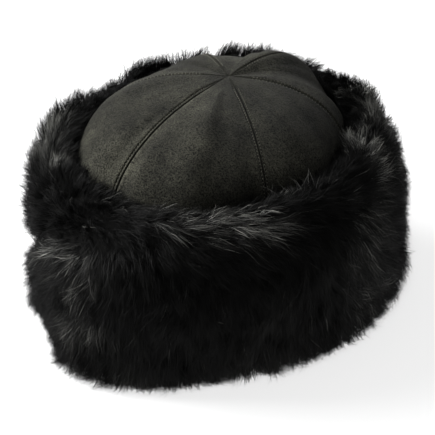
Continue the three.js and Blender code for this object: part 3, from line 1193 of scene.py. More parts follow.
SHEENS = tuple(
    Sheen(*row)
    for row in (
        (-143, 0.79, 14, 0.72, 0.04), (-131, 0.78, 14, 0.74, 0.04), (-120, 0.83, 13, 0.72, 0.04),
        (-110, 0.5, 11, 0.26, 0.8), (-92, 0.61, 11, 0.24, 0.8), (-90, 0.5, 10, 0.22, 0.9),
        (-85, 0.64, 8, 0.24, 0.8), (-100, 0.55, 12, 0.26, 0.8), (-86, 0.54, 10, 0.22, 0.9),
        (-93, 0.45, 9, 0.2, 0.8), (-79, 0.67, 8, 0.14, 0.45), (-99, 0.29, 10, 0.14, 0.5),
        (-100, 0.2, 11, 0.34, 0.6), (-92, 0.3, 12, 0.44, 0.7), (-85, 0.34, 10, 0.46, 0.9),
        (-79, 0.34, 11, 0.34, 0.5), (-70, 0.37, 9, 0.14, 0.4), (-66, 0.2, 9, 0.06, 0.2),
        (-88, 0.88, 11, 0.26, 0.45), (-76, 0.89, 11, 0.26, 0.5), (-66, 0.86, 12, 0.36, 0.7),
        (-58, 0.85, 12, 0.38, 0.9), (-48, 0.84, 12, 0.46, 1.05), (-38, 0.84, 12, 0.46, 1.15),
        (-31, 0.81, 11, 0.28, 1.1), (-64, 0.79, 9, 0.12, 0.5), (-50, 0.78, 10, 0.12, 0.5),
        (-18, 0.89, 8, 0.1, 1.0), (-4, 0.9, 7, 0.08, 0.8), (31, 0.9, 9, 0.42, 1.6),
        (27, 0.85, 9, 0.42, 1.6), (24, 0.8, 10, 0.44, 1.0), (18, 0.74, 18, 0.4, 0.6),
        (66, 0.82, 13, 0.76, 0.8), (57, 0.8, 13, 0.76, 0.8), (45, 0.78, 14, 0.7, 0.8),
        (36, 0.68, 13, 0.5, 0.5), (6, 0.58, 40, 0.28, 0.6), (12, 0.28, 34, 0.26, 0.6),
        (50, 0.4, 40, 0.42, 0.3), (-30, 0.14, 44, 0.34, 0.25), (-26, 0.46, 26, 0.26, 0.2),
        (-70, 0.1, 30, 0.42, 0.35), (0, 0.4, 9, 0.08, 0.4), (14, 0.3, 12, 0.12, 0.4),
        (3, 0.15, 10, 0.12, 0.4), (-38, 0.2, 9, 0.05, 0.3), (-20, 0.52, 9, 0.03, 0.3),
        (78, 0.5, 26, 0.24, 0.5), (110, 0.3, 22, 0.26, 0.5), (125, 0.66, 18, 0.26, 0.7),
        (150, 0.42, 24, 0.28, 0.6), (172, 0.74, 16, 0.34, 0.7), (-165, 0.3, 18, 0.26, 0.6),
        (-164, 0.6, 12, 0.24, 0.5),
    )
)

WISPS = tuple(
    Wisps(*row)
    for row in (
        (-19, 0.88, 45, 54, 9), (-9, 0.88, 70, 54, 12), (2, 0.87, 60, 56, 7),
        (28, 0.86, 40, 66, 12), (37, 0.86, 40, 66, 10), (-84, 0.87, 50, 54, 8),
        (-70, 0.87, 15, 48, 8), (-20, 0.5, -130, 42, 5), (10, 0.4, -60, 46, 5),
        (120, 0.8, -80, 44, 5), (175, 0.8, -90, 44, 5),
    )
)


@dataclass(frozen=True)
class PeltForm:
    """The surface the fur grows from: a ring round the crown with a rounded crest, in mm.

    The profile gives the section's outline as shares of the reach and of the crest's height. The
    parting fades in and out over some degrees at its two ends.
    """

    crown: CrownForm = CrownForm()
    fur_depth: float = 10.0
    profile_out: tuple[float, ...] = (0.8, 0.93, 1.0, 1.0, 1.0, 0.98, 0.84, 0.56, 0.26, 0.03, -0.04)
    profile_up: tuple[float, ...] = (0.0, 0.05, 0.18, 0.34, 0.52, 0.74, 0.9, 0.99, 1.0, 0.95, 0.88)
    profile_samples: int = 161
    profile_rounding: int = 8
    nominal_reach: float = 29.0
    nominal_crest: float = 128.0
    shoulder_share: float = 0.8
    row_reach: float = 18.0
    valley_depth: float = 5.5
    valley_width: float = 8.0
    valley_start: float = -158.0
    valley_start_fade: float = 14.0
    valley_end: float = -64.0
    valley_end_fade: float = 24.0

    def table(self, degrees: Array, column: str) -> Array:
        """One column of the cuff's table, smoothly between its rows."""
        at, values = np.array([(row.at, getattr(row, column)) for row in CUFF_ROWS]).T
        return smoothly(at, values, degrees, self.row_reach)

    def profile(self) -> tuple[Array, Array, Array]:
        """Rounds off the section's profile.

        Returns:
            Shares of the section's length, and its out and up shares there.
        """
        out, up = np.array(self.profile_out), np.array(self.profile_up)
        steps = np.hypot(np.diff(out) * self.nominal_reach, np.diff(up) * self.nominal_crest)
        length = np.concatenate([[0.0], np.cumsum(steps)]) / steps.sum()
        fine = np.linspace(0.0, 1.0, self.profile_samples)
        ends = self.profile_rounding
        kernel = np.hanning(2 * ends + 1)
        kernel /= kernel.sum()
        rounded = []
        for values in (out, up):
            line = np.interp(fine, length, values)
            before, after = 2 * line[0] - line[ends:0:-1], 2 * line[-1] - line[-2 : -ends - 2 : -1]
            rounded.append(np.convolve(np.concatenate([before, line, after]), kernel, "valid"))
        return fine, rounded[0], rounded[1]

    def parting(self, degrees: Array, along: Array) -> tuple[Array, Array]:
        """Where places on the pelt lie from the parting at the front right.

        Args:
            degrees: Directions from the hat's middle.
            along: Shares along the pelt's section.

        Returns:
            How near each place is to the parting, from 0 to 1, and how far above it in mm, which is
            far below it for places beyond its ends.
        """
        turned = turn_between(-180.0, degrees) - 180.0
        line = np.interp(turned, *np.array(PARTING).T)
        inside = np.clip((turned - self.valley_start) / self.valley_start_fade, 0, 1)
        inside = inside * np.clip((self.valley_end - turned) / self.valley_end_fade, 0, 1)
        above = (along - line) * SECTION_LENGTH
        near = inside * np.exp(-((above / self.valley_width) ** 2))
        return near, np.where(inside > 0, above, -99.0)

    def point(self, degrees: Array, along: Array) -> Array:
        """Points on the pelt, whose reach follows a curve through its table's three columns.

        Args:
            degrees: Directions from the hat's middle.
            along: Shares along the pelt's section.

        Returns:
            The points.
        """
        fine, out_line, up_line = self.profile()
        out, up = np.interp(along, fine, out_line), np.interp(along, fine, up_line)
        share = np.clip(up / self.shoulder_share, 0.0, 1.0)
        reach = self.table(degrees, "hem") * (1 - share) * (1 - 2 * share)
        reach = reach + self.table(degrees, "middle") * 4 * share * (1 - share)
        reach = reach + self.table(degrees, "shoulder") * share * (2 * share - 1)
        reach = reach - self.fur_depth - self.valley_depth * self.parting(degrees, along)[0]
        crest = self.table(degrees, "crest") - self.fur_depth
        return self.crown.wall(np.radians(degrees), reach * out, crest * up)

    def frame(self, degrees: Array, along: Array) -> tuple[Array, Array, Array, Array]:
        """Points on the pelt with its directions there.

        Args:
            degrees: Directions from the hat's middle.
            along: Shares along the pelt's section.

        Returns:
            The points, and unit vectors round the hat, up the pelt and out of it.
        """
        at = self.point(degrees, along)
        step = 0.01
        low, high = np.clip(along - step, 0, 1), np.clip(along + step, 0, 1)
        uphill = unit(self.point(degrees, high) - self.point(degrees, low))
        around = unit(self.point(degrees + 1.0, along) - self.point(degrees - 1.0, along))
        out = unit(np.cross(around, uphill))
        return at, unit(np.cross(uphill, out)), uphill, out


@dataclass
class Underfur:
    """The dense ring of underfur that the hairs grow out of, with its sizes in mm."""

    pelt: PeltForm = PeltForm()
    finish: UnderfurFinish = UnderfurFinish()
    directions: int = 180
    steps: int = 30
    swell: float = 2.5
    dome_gap: float = 0.6
    wall_gap: float = 0.4

    def dress(self, piece: bpy.types.Object) -> None:
        """Gives the ring its finish, in place of the cuff's solid.

        Args:
            piece: The ring's mesh object.
        """
        piece.data.materials.append(self.finish.material())
        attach(piece, "root")
        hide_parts("fur_cuff")

    def build(self) -> list[bpy.types.Object]:
        """Builds the closed ring and dresses it.

        Returns:
            The ring, as the only piece.
        """
        crown = self.pelt.crown
        degrees = np.linspace(-180, 180, self.directions, endpoint=False)
        along = np.linspace(0, 1, self.steps)
        at, _, _, out = self.pelt.frame(*np.meshgrid(degrees, along, indexing="ij"))
        swell = self.swell * np.clip(np.sin(along * math.pi) * 3, 0, 1)
        skin = at + out * swell[None, :, None]
        skin = crown.clear_of(skin, np.full(skin.shape[:2], self.dome_gap))
        skin[..., 2] = np.maximum(skin[..., 2], 0.0)
        angles = np.radians(degrees)
        wall = [crown.wall(angles, self.wall_gap, z)[:, None] for z in (crown.shoulder, 0.0)]
        rings = np.concatenate([skin, *wall], axis=1)
        faces = grid_faces(*rings.shape[:2], closed=True)
        piece = mesh_piece("fur_underfur", rings.reshape(-1, 3), faces)
        self.dress(piece)
        return [piece]


@dataclass(frozen=True)
class Patch:
    """A part of the pelt whose hairs are one piece: a range of directions and of the section."""

    name: str
    low: float
    high: float
    hem: float
    top: float
    seed: int
    share: float = 0.0


@dataclass(frozen=True)
class Ripple:
    """A smooth variation over the pelt: its strength, its bumps' size in mm and its seed."""

    strength: float
    size: float
    seed: int

    def over(self, degrees: Array, along: Array) -> Array:
        """The variation at directions and at shares along the pelt's section."""
        x, y = degrees * MM_PER_DEGREE, along * SECTION_LENGTH
        return self.strength * smooth_noise(x / self.size, y / self.size, self.seed)


@dataclass(frozen=True)
class TuftSpread:
    """How tufts differ from each other, with angles in radians and lengths as factors."""

    turn_ripples: tuple[Ripple, ...] = (Ripple(0.5, 14, 21), Ripple(0.25, 5, 31))
    lift_ripple: Ripple = Ripple(0.2, 11, 22)
    length_ripple: Ripple = Ripple(0.12, 8, 23)
    haze_ripple: Ripple = Ripple(0.35, 6, 24)
    turn: float = 0.1
    lift: float = 0.06
    length: tuple[float, float] = (0.88, 1.1)
    raised_share: float = 0.22
    raised_lift: tuple[float, float] = (0.15, 0.55)
    gather: tuple[float, float] = (0.42, 0.94)
    curl: float = 0.12
    haze: float = 0.03


@dataclass(frozen=True)
class StrandSpread:
    """How the hairs of a tuft differ from each other.

    offset, depth, waver, dome_gap and floor_gap are in mm, angles in radians and lengths factors.
    Strays are the hairs that lie across their tuft.
    """

    offset: float = 1.9
    depth: float = 1.5
    length: tuple[float, float] = (0.62, 1.04)
    turn: float = 0.09
    lift: float = 0.07
    bend: float = 0.08
    waver: float = 0.3
    facing: float = 0.45
    stray_share: float = 0.2
    stray_length: float = 0.8
    stray_turn: float = 3.0
    stray_lift: tuple[float, float] = (0.1, 0.6)
    lifts: tuple[float, float] = (0.12, 1.4)
    dome_gap: tuple[float, float] = (0.5, 4.0)
    floor_gap: tuple[float, float] = (0.0, 4.0)


@dataclass(frozen=True)
class WispSpread:
    """How the single hairs round one place differ from each other.

    at is in degrees, along a share of the section, dome_gap in mm, other angles in radians and
    length a factor.
    """

    at: float = 4.5
    along: float = 0.025
    highest: float = 0.97
    turn: float = 0.45
    lift: float = 0.12
    lifts: tuple[float, float] = (0.2, 1.35)
    length: tuple[float, float] = (0.45, 0.85)
    bend: float = 0.35
    dome_gap: tuple[float, float] = (1.0, 4.0)
    facing: float = 0.3
    tone: tuple[float, float] = (0.58, 0.85)


@dataclass(frozen=True)
class Tufts:
    """The tufts of a patch, with one row of each array for each tuft.

    The first four are a tuft's place and its directions round the hat, up the pelt and out of it.
    gather says how far its hairs come together, and clump how brightly the tuft glints as a
    whole, mostly a painted highlight.
    """

    at: Array
    around: Array
    uphill: Array
    out: Array
    turn: Array
    lift: Array
    length: Array
    haze: Array
    streaks: Array
    gather: Array
    curl: Array
    clump: Array


@dataclass
class Fur:
    """The hairs of the cuff: tufts of flat, tapered strands combed by the table of zones.

    Lengths are in mm. The stations are the shares along a hair where its points lie.
    """

    pelt: PeltForm = PeltForm()
    finish: HairFinish = HairFinish()
    tuft_spread: TuftSpread = TuftSpread()
    strand_spread: StrandSpread = StrandSpread()
    wisp_spread: WispSpread = WispSpread()
    guard_hairs: int = 96_000
    fine_hairs: int = 140_000
    tuft_hairs: int = 24
    guard_stations: tuple[float, ...] = (0.0, 0.36, 0.7, 1.0)
    fine_stations: tuple[float, ...] = (0.0, 0.5, 1.0)
    wisp_stations: tuple[float, ...] = (0.0, 0.4, 0.72, 1.0)
    length: float = 26.0
    guard_width: float = 0.34
    fine_width: float = 0.26
    tip_width: float = 0.65
    reach_out: float = 0.1
    arch: float = 0.4
    wisp_arch: float = 0.3
    sag: float = 0.06
    gather_power: float = 1.3
    hem_length: float = 0.8
    parted_length: float = 0.4
    # Painted shade on the roll above the parting, in mm, and how much haze and streaks it cuts.
    roll_start: float = -1.0
    roll_rise: float = 4.0
    roll_width: float = 14.0
    roll_haze: float = 0.8
    roll_streaks: float = 0.9
    loose_streaks: float = 0.35
    loose_haze: float = 0.6
    upright_lift: float = 1.15
    upright_start: float = 1.6
    plain_haze: float = 0.07
    plain_streaks: float = 0.14
    clump_glint: float = 0.4
    glint_power: float = 2.6
    tone_spread: float = 0.12
    bright_share: float = 0.0012
    bright_tone: float = 0.85
    pale_width: float = 0.45
    even_pale: float = 0.55
    map_margin: float = 0.006
    map_span: float = 0.988
    map_shift: float = 0.0015
    zone_reach: float = 17.0
    floor: float = 0.4
    crest_share: float = 0.62
    seed: int = 11
    quick_thinning: int = 4

    def patches(self) -> list[Patch]:
        """Divides the pelt into parts, one piece each.

        Returns:
            The parts, with their shares of the pelt's area.
        """
        crest = self.crest_share
        patches = [
            Patch("fur_side_front", -95, -5, 0.0, crest, 1),
            Patch("fur_side_left", -5, 85, 0.0, crest, 2),
            Patch("fur_side_back", 85, 175, 0.0, crest, 3),
            Patch("fur_side_right", 175, 265, 0.0, crest, 4),
            Patch("fur_crest_front", -140, 40, crest, 1.0, 5),
            Patch("fur_crest_back", 40, 220, crest, 1.0, 6),
        ]
        areas = [self.area(patch) for patch in patches]
        return [replace(patch, share=area / sum(areas)) for patch, area in zip(patches, areas)]

    def area(self, patch: Patch) -> float:
        """Measures a patch over a grid of points.

        Args:
            patch: The patch.

        Returns:
            Its area on the pelt, in square millimetres.
        """
        degrees = np.linspace(patch.low, patch.high, 37)
        along = np.linspace(patch.hem, patch.top, 13)
        at = self.pelt.point(*np.meshgrid(degrees, along, indexing="ij"))
        one = np.linalg.norm(np.diff(at, axis=0), axis=-1)[:, :-1]
        other = np.linalg.norm(np.diff(at, axis=1), axis=-1)[:-1]
        return float((one * other).sum())

    def combed(self, degrees: Array, along: Array) -> tuple[Array, Array, Array]:
        """How the fur is combed at places on the pelt. It stands up where its zones disagree.

        Args:
            degrees: Directions from the hat's middle.
            along: Shares along the pelt's section.

        Returns:
            The turn and the lift in radians and the length factor at each place.
        """
        total = np.zeros((len(degrees), 4))
        weights = np.zeros(len(degrees))
        for zone in ZONES:
            weight = self.nearness(zone, degrees, along, self.zone_reach, 1e-5)
            angle = math.radians(zone.turn)
            row = (math.cos(angle), math.sin(angle), math.radians(zone.lift), zone.length)
            total += weight[:, None] * np.array(row)
            weights += weight
        agreed = np.hypot(total[:, 0], total[:, 1]) / weights
        turn = np.arctan2(total[:, 1], total[:, 0])
        lift, length = (total[:, 2:] / weights[:, None]).T
        apart = np.clip(1 - agreed * self.upright_start, 0, 1)
        return turn, lift + (self.upright_lift - lift) * apart, length

    def lit(self, degrees: Array, along: Array) -> tuple[Array, Array]:
        """The painted sheen on the fur at places on the pelt.

        Args:
            degrees: Directions from the hat's middle.
            along: Shares along the pelt's section.

        Returns:
            How grey the fur is at each place, and how pale its strands are: the plain tone raised
            by the painted sheens.
        """
        haze = np.full(len(degrees), self.plain_haze)
        streaks = np.full(len(degrees), self.plain_streaks)
        for sheen in SHEENS:
            near = self.nearness(sheen, degrees, along, sheen.radius, 0.0)
            haze = np.maximum(haze, sheen.haze * near)
            streaks = np.maximum(streaks, sheen.streaks * near)
        return haze, streaks

    @staticmethod
    def nearness(
        place: Zone | Sheen, degrees: Array, along: Array, reach: float, far: float
    ) -> Array:
        """How near places on the pelt are to one that a table gives.

        Args:
            place: The table's place.
            degrees: Directions from the hat's middle.
            along: Shares along the pelt's section.
            reach: How far the place reaches, in millimetres.
            far: How strong it is far beyond its reach.

        Returns:
            A value from 1 at the place to nearly 0, for each place on the pelt.
        """
        round_hat = turn_between(place.at, degrees) * MM_PER_DEGREE
        apart = np.hypot(round_hat, (along - place.along) * SECTION_LENGTH)
        return np.exp(-((apart / reach) ** 2)) + far * np.exp(-apart / FAR_REACH)

    def tufts(self, patch: Patch) -> Tufts:
        """Places and combs the tufts of a patch, which are the same for every kind of hair.

        Args:
            patch: The part of the pelt.

        Returns:
            The tufts.
        """
        rng, spread = np.random.default_rng(self.seed + patch.seed), self.tuft_spread
        count = int((self.guard_hairs + self.fine_hairs) * patch.share / self.tuft_hairs)
        degrees = rng.uniform(patch.low, patch.high, count)
        along = rng.uniform(patch.hem, patch.top, count)
        at, around, uphill, out = self.pelt.frame(degrees, along)
        turn, lift, length = self.combed(degrees, along)
        haze, streaks = self.lit(degrees, along)
        for ripple in spread.turn_ripples:
            turn = turn + ripple.over(degrees, along)
        turn = turn + rng.normal(0, spread.turn, count)
        lift = lift + spread.lift_ripple.over(degrees, along) + rng.normal(0, spread.lift, count)
        length = length * (1 + spread.length_ripple.over(degrees, along))
        length = length * rng.uniform(*spread.length, count)
        length = length * np.clip(self.hem_length + along * 2, 0.0, 1.0)
        raised = rng.random(count) < spread.raised_share
        lift = lift + raised * rng.uniform(*spread.raised_lift, count)
        # The fur is short in the parting; painted shade cuts the sheen on the roll just above it.
        parted, above = self.pelt.parting(degrees, along)
        length = length * (1 - self.parted_length * parted)
        rolled = np.clip((above - self.roll_start) / self.roll_rise, 0, 1)
        rolled = rolled * np.exp(-((above / self.roll_width) ** 2))
        haze = haze * (1 - self.roll_haze * rolled)
        streaks = streaks * (1 - self.roll_streaks * rolled)
        # Pale tufts stay loose and curl more.
        gather = rng.uniform(*spread.gather, count)
        gather = gather * (1 - self.loose_streaks * np.minimum(streaks, 1.0))
        gather = gather * (1 - self.loose_haze * haze)
        curl = rng.normal(0, spread.curl, count) * (1 + streaks)
        clump = rng.random(count) ** 2
        haze = haze * (1 + spread.haze_ripple.over(degrees, along))
        haze = haze + rng.normal(0, spread.haze, count)
        places = (at, around, uphill, out)
        return Tufts(*places, turn, lift, length, haze, streaks, gather, curl, clump)

    def grow(
        self, patch: Patch, count: int, stations: tuple[float, ...], seed: int
    ) -> tuple[Array, Array, Array]:
        """Grows hairs of one kind on a patch.

        Args:
            patch: The part of the pelt to cover.
            count: How many hairs to grow.
            stations: Where along a hair its points lie.
            seed: The seed of the hairs' randomness.

        Returns:
            The points down each hair, the direction of its width and its tone from 0 to 1.
        """
        tufts, rng, spread = self.tufts(patch), np.random.default_rng(seed), self.strand_spread
        of = rng.integers(0, len(tufts.at), count)
        around, uphill, out = tufts.around[of], tufts.uphill[of], tufts.out[of]
        offset = rng.normal(0, spread.offset, (count, 2))
        aside = around * offset[:, :1] + uphill * offset[:, 1:]
        roots = tufts.at[of] + aside - out * rng.uniform(0.0, spread.depth, count)[:, None]
        stray = rng.random(count) < spread.stray_share
        length = self.length * tufts.length[of] * rng.uniform(*spread.length, count)
        length = length * np.where(stray, spread.stray_length, 1.0)
        turned = rng.normal(0, spread.turn, count) * np.where(stray, spread.stray_turn, 1.0)
        turn = tufts.turn[of] + turned
        lift = tufts.lift[of] + rng.normal(0, spread.lift, count)
        lift = np.clip(lift + stray * rng.uniform(*spread.stray_lift, count), *spread.lifts)
        flat = around * np.cos(turn)[:, None] + uphill * np.sin(turn)[:, None]
        side = np.cross(out, flat)
        bend = tufts.curl[of] + rng.normal(0, spread.bend, count)
        points = []
        for t in stations:
            forward = length * np.cos(lift) * (t + self.reach_out * t * t)
            height = length * np.sin(lift) * (t - self.arch * t * t)
            place = roots + flat * forward[:, None] + out * height[:, None]
            place = place + side * (length * bend * t * t)[:, None]
            place = place - aside * (tufts.gather[of] * t**self.gather_power)[:, None]
            place[:, 2] -= length * self.sag * t * t
            points.append(place + rng.normal(0, spread.waver * t, (count, 3)))
        hairs = np.stack(points, 1)
        hairs = self.pelt.crown.clear_of(hairs, rng.uniform(*spread.dome_gap, (count, 1)))
        lowest = self.floor + rng.uniform(*spread.floor_gap, (count, 1))
        hairs[..., 2] = np.maximum(hairs[..., 2], lowest)
        facing = out + rng.normal(0, spread.facing, (count, 3))
        wide = unit(np.cross(unit(hairs[:, -1] - hairs[:, 0]), facing))
        return hairs, wide, self.tones(tufts, of, rng)

    def tones(self, tufts: Tufts, of: Array, rng: np.random.Generator) -> Array:
        """Gives hairs their tones, which follow their tufts with a few bright hairs among them.

        Args:
            tufts: The tufts.
            of: The number of each hair's tuft.
            rng: The hairs' randomness.

        Returns:
            Each hair's tone from 0 to 1.
        """
        count, clump, base = len(of), tufts.clump[of], self.clump_glint
        # The glint is a painted highlight, scaled by the streaks, which are mostly painted sheen.
        glint = base * clump + rng.random(count) ** self.glint_power * (base + (1 - base) * clump)
        tone = tufts.haze[of] + self.tone_spread * rng.random(count) + tufts.streaks[of] * glint
        tone = np.where(rng.random(count) < self.bright_share, self.bright_tone, tone)
        return np.clip(tone, 0.0, 1.0)

    def wisps(self) -> tuple[Array, Array, Array]:
        """Grows the long pale single hairs.

        Returns:
            The points down each hair, the direction of its width and its tone from 0 to 1.
        """
        rng, spread = np.random.default_rng(self.seed), self.wisp_spread
        rows = [wisp for wisp in WISPS for _ in range(wisp.count)]
        count = len(rows)
        degrees = np.array([row.at for row in rows]) + rng.normal(0, spread.at, count)
        along = np.array([row.along for row in rows]) + rng.normal(0, spread.along, count)
        turn = np.radians([row.turn for row in rows]) + rng.normal(0, spread.turn, count)
        lift = np.radians([row.lift for row in rows]) + rng.normal(0, spread.lift, count)
        lift = np.clip(lift, *spread.lifts)
        at, around, uphill, out = self.pelt.frame(degrees, np.clip(along, 0.0, spread.highest))
        flat = around * np.cos(turn)[:, None] + uphill * np.sin(turn)[:, None]
        side = np.cross(out, flat)
        length = self.length * rng.uniform(*spread.length, count)
        bend = rng.normal(0, spread.bend, count)
        points = []
        for t in self.wisp_stations:
            forward = length * np.cos(lift) * t
            height = length * np.sin(lift) * (t - self.wisp_arch * t * t)
            place = at + flat * forward[:, None] + out * height[:, None]
            points.append(place + side * (length * bend * t * t)[:, None])
        gap = rng.uniform(*spread.dome_gap, (count, 1))
        hairs = self.pelt.crown.clear_of(np.stack(points, 1), gap)
        facing = out + rng.normal(0, spread.facing, (count, 3))
        wide = unit(np.cross(unit(hairs[:, -1] - hairs[:, 0]), facing))
        return hairs, wide, rng.uniform(*spread.tone, count)

    def ribbons(self, hairs: Array, wide: Array, tone: Array, width: float) -> tuple[Array, ...]:
        """Makes flat tapered ribbons of hairs of one kind.

        A pale hair is wider than a dark one, and its colour more even from root to tip, with less
        of the painted shade toward the root.

        Args:
            hairs: The points down each hair, in millimetres.
            wide: The direction of each hair's width.
            tone: Each hair's tone, from 0 to 1.
            width: The hairs' width in millimetres.

        Returns:
            The points, each corner's vertex, each face's size and each corner's UV.
        """
        count, stations = hairs.shape[:2]
        steps = stations - 1
        taper = np.linspace(1.0, self.tip_width, steps)[None, :, None]
        pale = 1 + self.pale_width * np.clip(2 * tone - 1, 0.0, 1.0)
        side = (wide * pale[:, None])[:, None] * (width / 2) * taper
        pairs = np.stack([hairs[:, :-1] - side, hairs[:, :-1] + side], 2)
        points = np.concatenate([pairs.reshape(count, steps * 2, 3), hairs[:, -1:]], 1)
        size = steps * 2 + 1
        loop = [v for i in range(steps - 1) for v in (2 * i, 2 * i + 1, 2 * i + 3, 2 * i + 2)]
        loop += [size - 3, size - 2, size - 1]
        loops = (np.arange(count)[:, None] * size + np.array(loop)).ravel()
        sizes = np.tile([4] * (steps - 1) + [3], count)
        # Each point's share out along its hair sets the painted shade and highlight along it.
        share = np.append(np.repeat(np.linspace(0.02, 0.8, steps), 2), 0.98)
        even = self.even_pale * np.clip(2 * tone - 0.8, 0.0, 1.0)
        share = 1 - (1 - share) * (1 - even)[:, None]
        # The two edges lie a little apart in the map, so that no face has an empty area there.
        shift = np.append(np.tile([-self.map_shift, self.map_shift], steps), 0.0)
        across = self.map_margin + self.map_span * tone[:, None] + shift
        uv = np.stack([across, share], -1)
        return points.reshape(-1, 3), loops, sizes, uv.reshape(-1, 2)[loops]

    @staticmethod
    def hair_mesh(name: str, kinds: list[tuple[Array, ...]]) -> bpy.types.Object:
        """Makes one mesh of ribbons of several kinds.

        Args:
            name: The piece's name.
            kinds: What ribbons returned for each kind.

        Returns:
            The mesh object, whose UV map holds the hairs' tones and shares from root to tip.
        """
        before = np.cumsum([0] + [len(kind[0]) for kind in kinds])
        points = np.concatenate([kind[0] for kind in kinds]) * MM
        loops = np.concatenate([kind[1] + start for kind, start in zip(kinds, before)])
        sizes = np.concatenate([kind[2] for kind in kinds])
        uv = np.concatenate([kind[3] for kind in kinds])
        mesh = bpy.data.meshes.new(name)
        mesh.vertices.add(len(points))
        mesh.vertices.foreach_set("co", points.ravel().astype(np.float32))
        mesh.loops.add(len(loops))
        mesh.loops.foreach_set("vertex_index", loops.astype(np.int32))
        mesh.polygons.add(len(sizes))
        starts = np.concatenate([[0], np.cumsum(sizes)[:-1]])
        mesh.polygons.foreach_set("loop_start", starts.astype(np.int32))
        mesh.polygons.foreach_set("use_smooth", np.ones(len(sizes), dtype=bool))
        layer = mesh.uv_layers.new(name=BAKE_UV)
        layer.data.foreach_set("uv", uv.ravel().astype(np.float32))
        mesh.update(calc_edges=True)
        return linked(name, mesh)

    def pelage(self, patch: Patch) -> bpy.types.Object:
        """Builds the hairs of one patch.

        Args:
            patch: The part of the pelt.

        Returns:
            The patch's mesh object, with no material yet.
        """
        thin = 1
        fine = int(self.fine_hairs * patch.share) // thin
        guard = int(self.guard_hairs * patch.share) // thin
        fine_grown = self.grow(patch, fine, self.fine_stations, patch.seed + 100)
        guard_grown = self.grow(patch, guard, self.guard_stations, patch.seed + 200)
        kinds = [
            self.ribbons(*fine_grown, self.fine_width),
            self.ribbons(*guard_grown, self.guard_width),
        ]
        return self.hair_mesh(patch.name, kinds)

    def dress(self, patches: list[bpy.types.Object], wisps: bpy.types.Object) -> None:
        """Gives the hairs their finish; the patches stand in place of the cuff's solid.

        Args:
            patches: The mesh objects of the patches.
            wisps: The mesh object of the single hairs.
        """
        material = self.finish.material()
        for piece in patches:
            piece.data.materials.append(material)
            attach(piece, "root")
            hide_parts("fur_cuff")
        wisps.data.materials.append(material)
        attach(wisps, "root")

    def build(self) -> list[bpy.types.Object]:
        """Grows every patch and the single hairs and dresses them.

        Returns:
            The fur's pieces.
        """
        patches = [self.pelage(patch) for patch in self.patches()]
        wisps = self.hair_mesh("fur_wisps", [self.ribbons(*self.wisps(), self.fine_width)])
        self.dress(patches, wisps)
        return [*patches, wisps]


@dataclass(frozen=True)
class Lamp:
    """A square soft light: its azimuth from the camera's, elevation, size in m and power in W."""

    name: str
    aside: float
    elevation: float
    size: float
    power: float


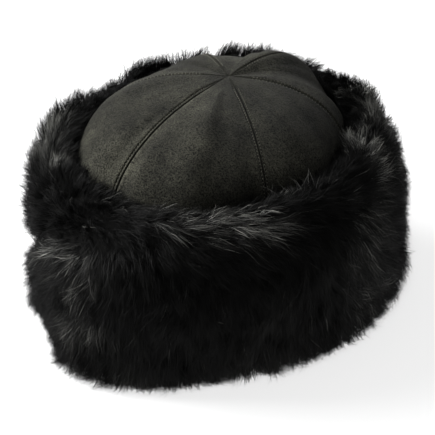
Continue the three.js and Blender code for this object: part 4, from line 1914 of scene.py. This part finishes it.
@dataclass
class Studio:
    """A pale floor, soft lights and the camera at the photo's angle.

    Angles are in degrees and lengths in metres, apart from the photo's width and the place in it
    where the target lies, which are in its pixels.
    """

    azimuth: float = 40.5
    elevation: float = 31.6
    distance: float = 1.6
    target_height: float = 0.075
    pixels_per_mm: float = 1.456
    target_x: float = 213.2
    target_y: float = 203.9
    photo_width: float = 435.0
    floor_half: float = 4.0
    floor_drop: float = 0.0005
    floor_tone: float = 0.45
    # The floor glows: it lightens the hat's shadow on it and lights the hat a little from below.
    floor_glow: float = 0.78
    floor_roughness: float = 0.9
    floor_specular: float = 0.1
    sky: float = 0.17
    lamp_distance: float = 1.5
    lamp_target: float = 0.08
    lamps: tuple[Lamp, ...] = (Lamp("key", -104, 37, 1.2, 48), Lamp("top", -60, 76, 1.2, 2))

    @staticmethod
    def aim(
        thing: bpy.types.Object, azimuth: float, elevation: float, distance: float, height: float
    ) -> None:
        """Places a camera or a light so that it faces a point above the hat's middle.

        Args:
            thing: The camera or the light.
            azimuth: Its azimuth in degrees.
            elevation: Its elevation in degrees.
            distance: How far it is from the point, in metres.
            height: The point's height, in metres.
        """
        a, e = math.radians(azimuth), math.radians(elevation)
        back = Vector((math.sin(a) * math.cos(e), -math.cos(a) * math.cos(e), math.sin(e)))
        thing.location = Vector((0, 0, height)) + back * distance
        thing.rotation_mode = "QUATERNION"
        thing.rotation_quaternion = (-back).to_track_quat("-Z", "Y")

    def camera(self) -> None:
        """Places the camera."""
        data = bpy.data.cameras.new("camera")
        camera = linked("camera", data)
        self.aim(camera, self.azimuth, self.elevation, self.distance, self.target_height)
        seen = self.photo_width / self.pixels_per_mm * MM
        data.lens = data.sensor_width * self.distance / seen
        data.shift_x = (self.photo_width / 2 - self.target_x) / self.photo_width
        data.shift_y = (self.target_y - self.photo_width / 2) / self.photo_width
        data.clip_end = 50.0
        bpy.context.scene.camera = camera

    def light(self) -> None:
        """Adds the lights and the world's even light."""
        for lamp in self.lamps:
            data = bpy.data.lights.new(lamp.name, "AREA")
            data.size = lamp.size
            data.energy = lamp.power
            azimuth, thing = self.azimuth + lamp.aside, linked(lamp.name, data)
            self.aim(thing, azimuth, lamp.elevation, self.lamp_distance, self.lamp_target)
        world = bpy.data.worlds.new("studio")
        bpy.context.scene.world = world
        world.use_nodes = True
        background = world.node_tree.nodes["Background"]
        background.inputs["Color"].default_value = (1, 1, 1, 1)
        background.inputs["Strength"].default_value = self.sky
        bpy.context.scene.view_settings.view_transform = "Standard"

    def build(self) -> list[bpy.types.Object]:
        """Builds the floor, adds the lights and places the camera.

        Returns:
            The floor, as the only piece.
        """
        half, low = self.floor_half / MM, -self.floor_drop / MM
        corners = [(-half, -half, low), (half, -half, low), (half, half, low), (-half, half, low)]
        floor = mesh_piece("floor", np.array(corners), [(0, 1, 2, 3)])
        nodes = Nodes("floor")
        nodes.surface(self.floor_roughness, self.floor_specular)
        nodes.shader.inputs["Base Color"].default_value = (*grey(self.floor_tone), 1)
        nodes.shader.inputs["Emission Color"].default_value = (1, 1, 1, 1)
        nodes.shader.inputs["Emission Strength"].default_value = self.floor_glow
        floor.data.materials.append(nodes.material)
        self.light()
        self.camera()
        return [floor]


def main() -> None:
    """Builds the crown, the cuff and the studio, and reports each piece."""
    logging.basicConfig(level=logging.INFO, format="%(name)s: %(message)s")
    for part in (Crown(), Underfur(), Fur(), Studio()):
        for piece in part.build():
            LOG.info("%s: %d faces", piece.name, len(piece.data.polygons))


if __name__ == "__main__":
    main()
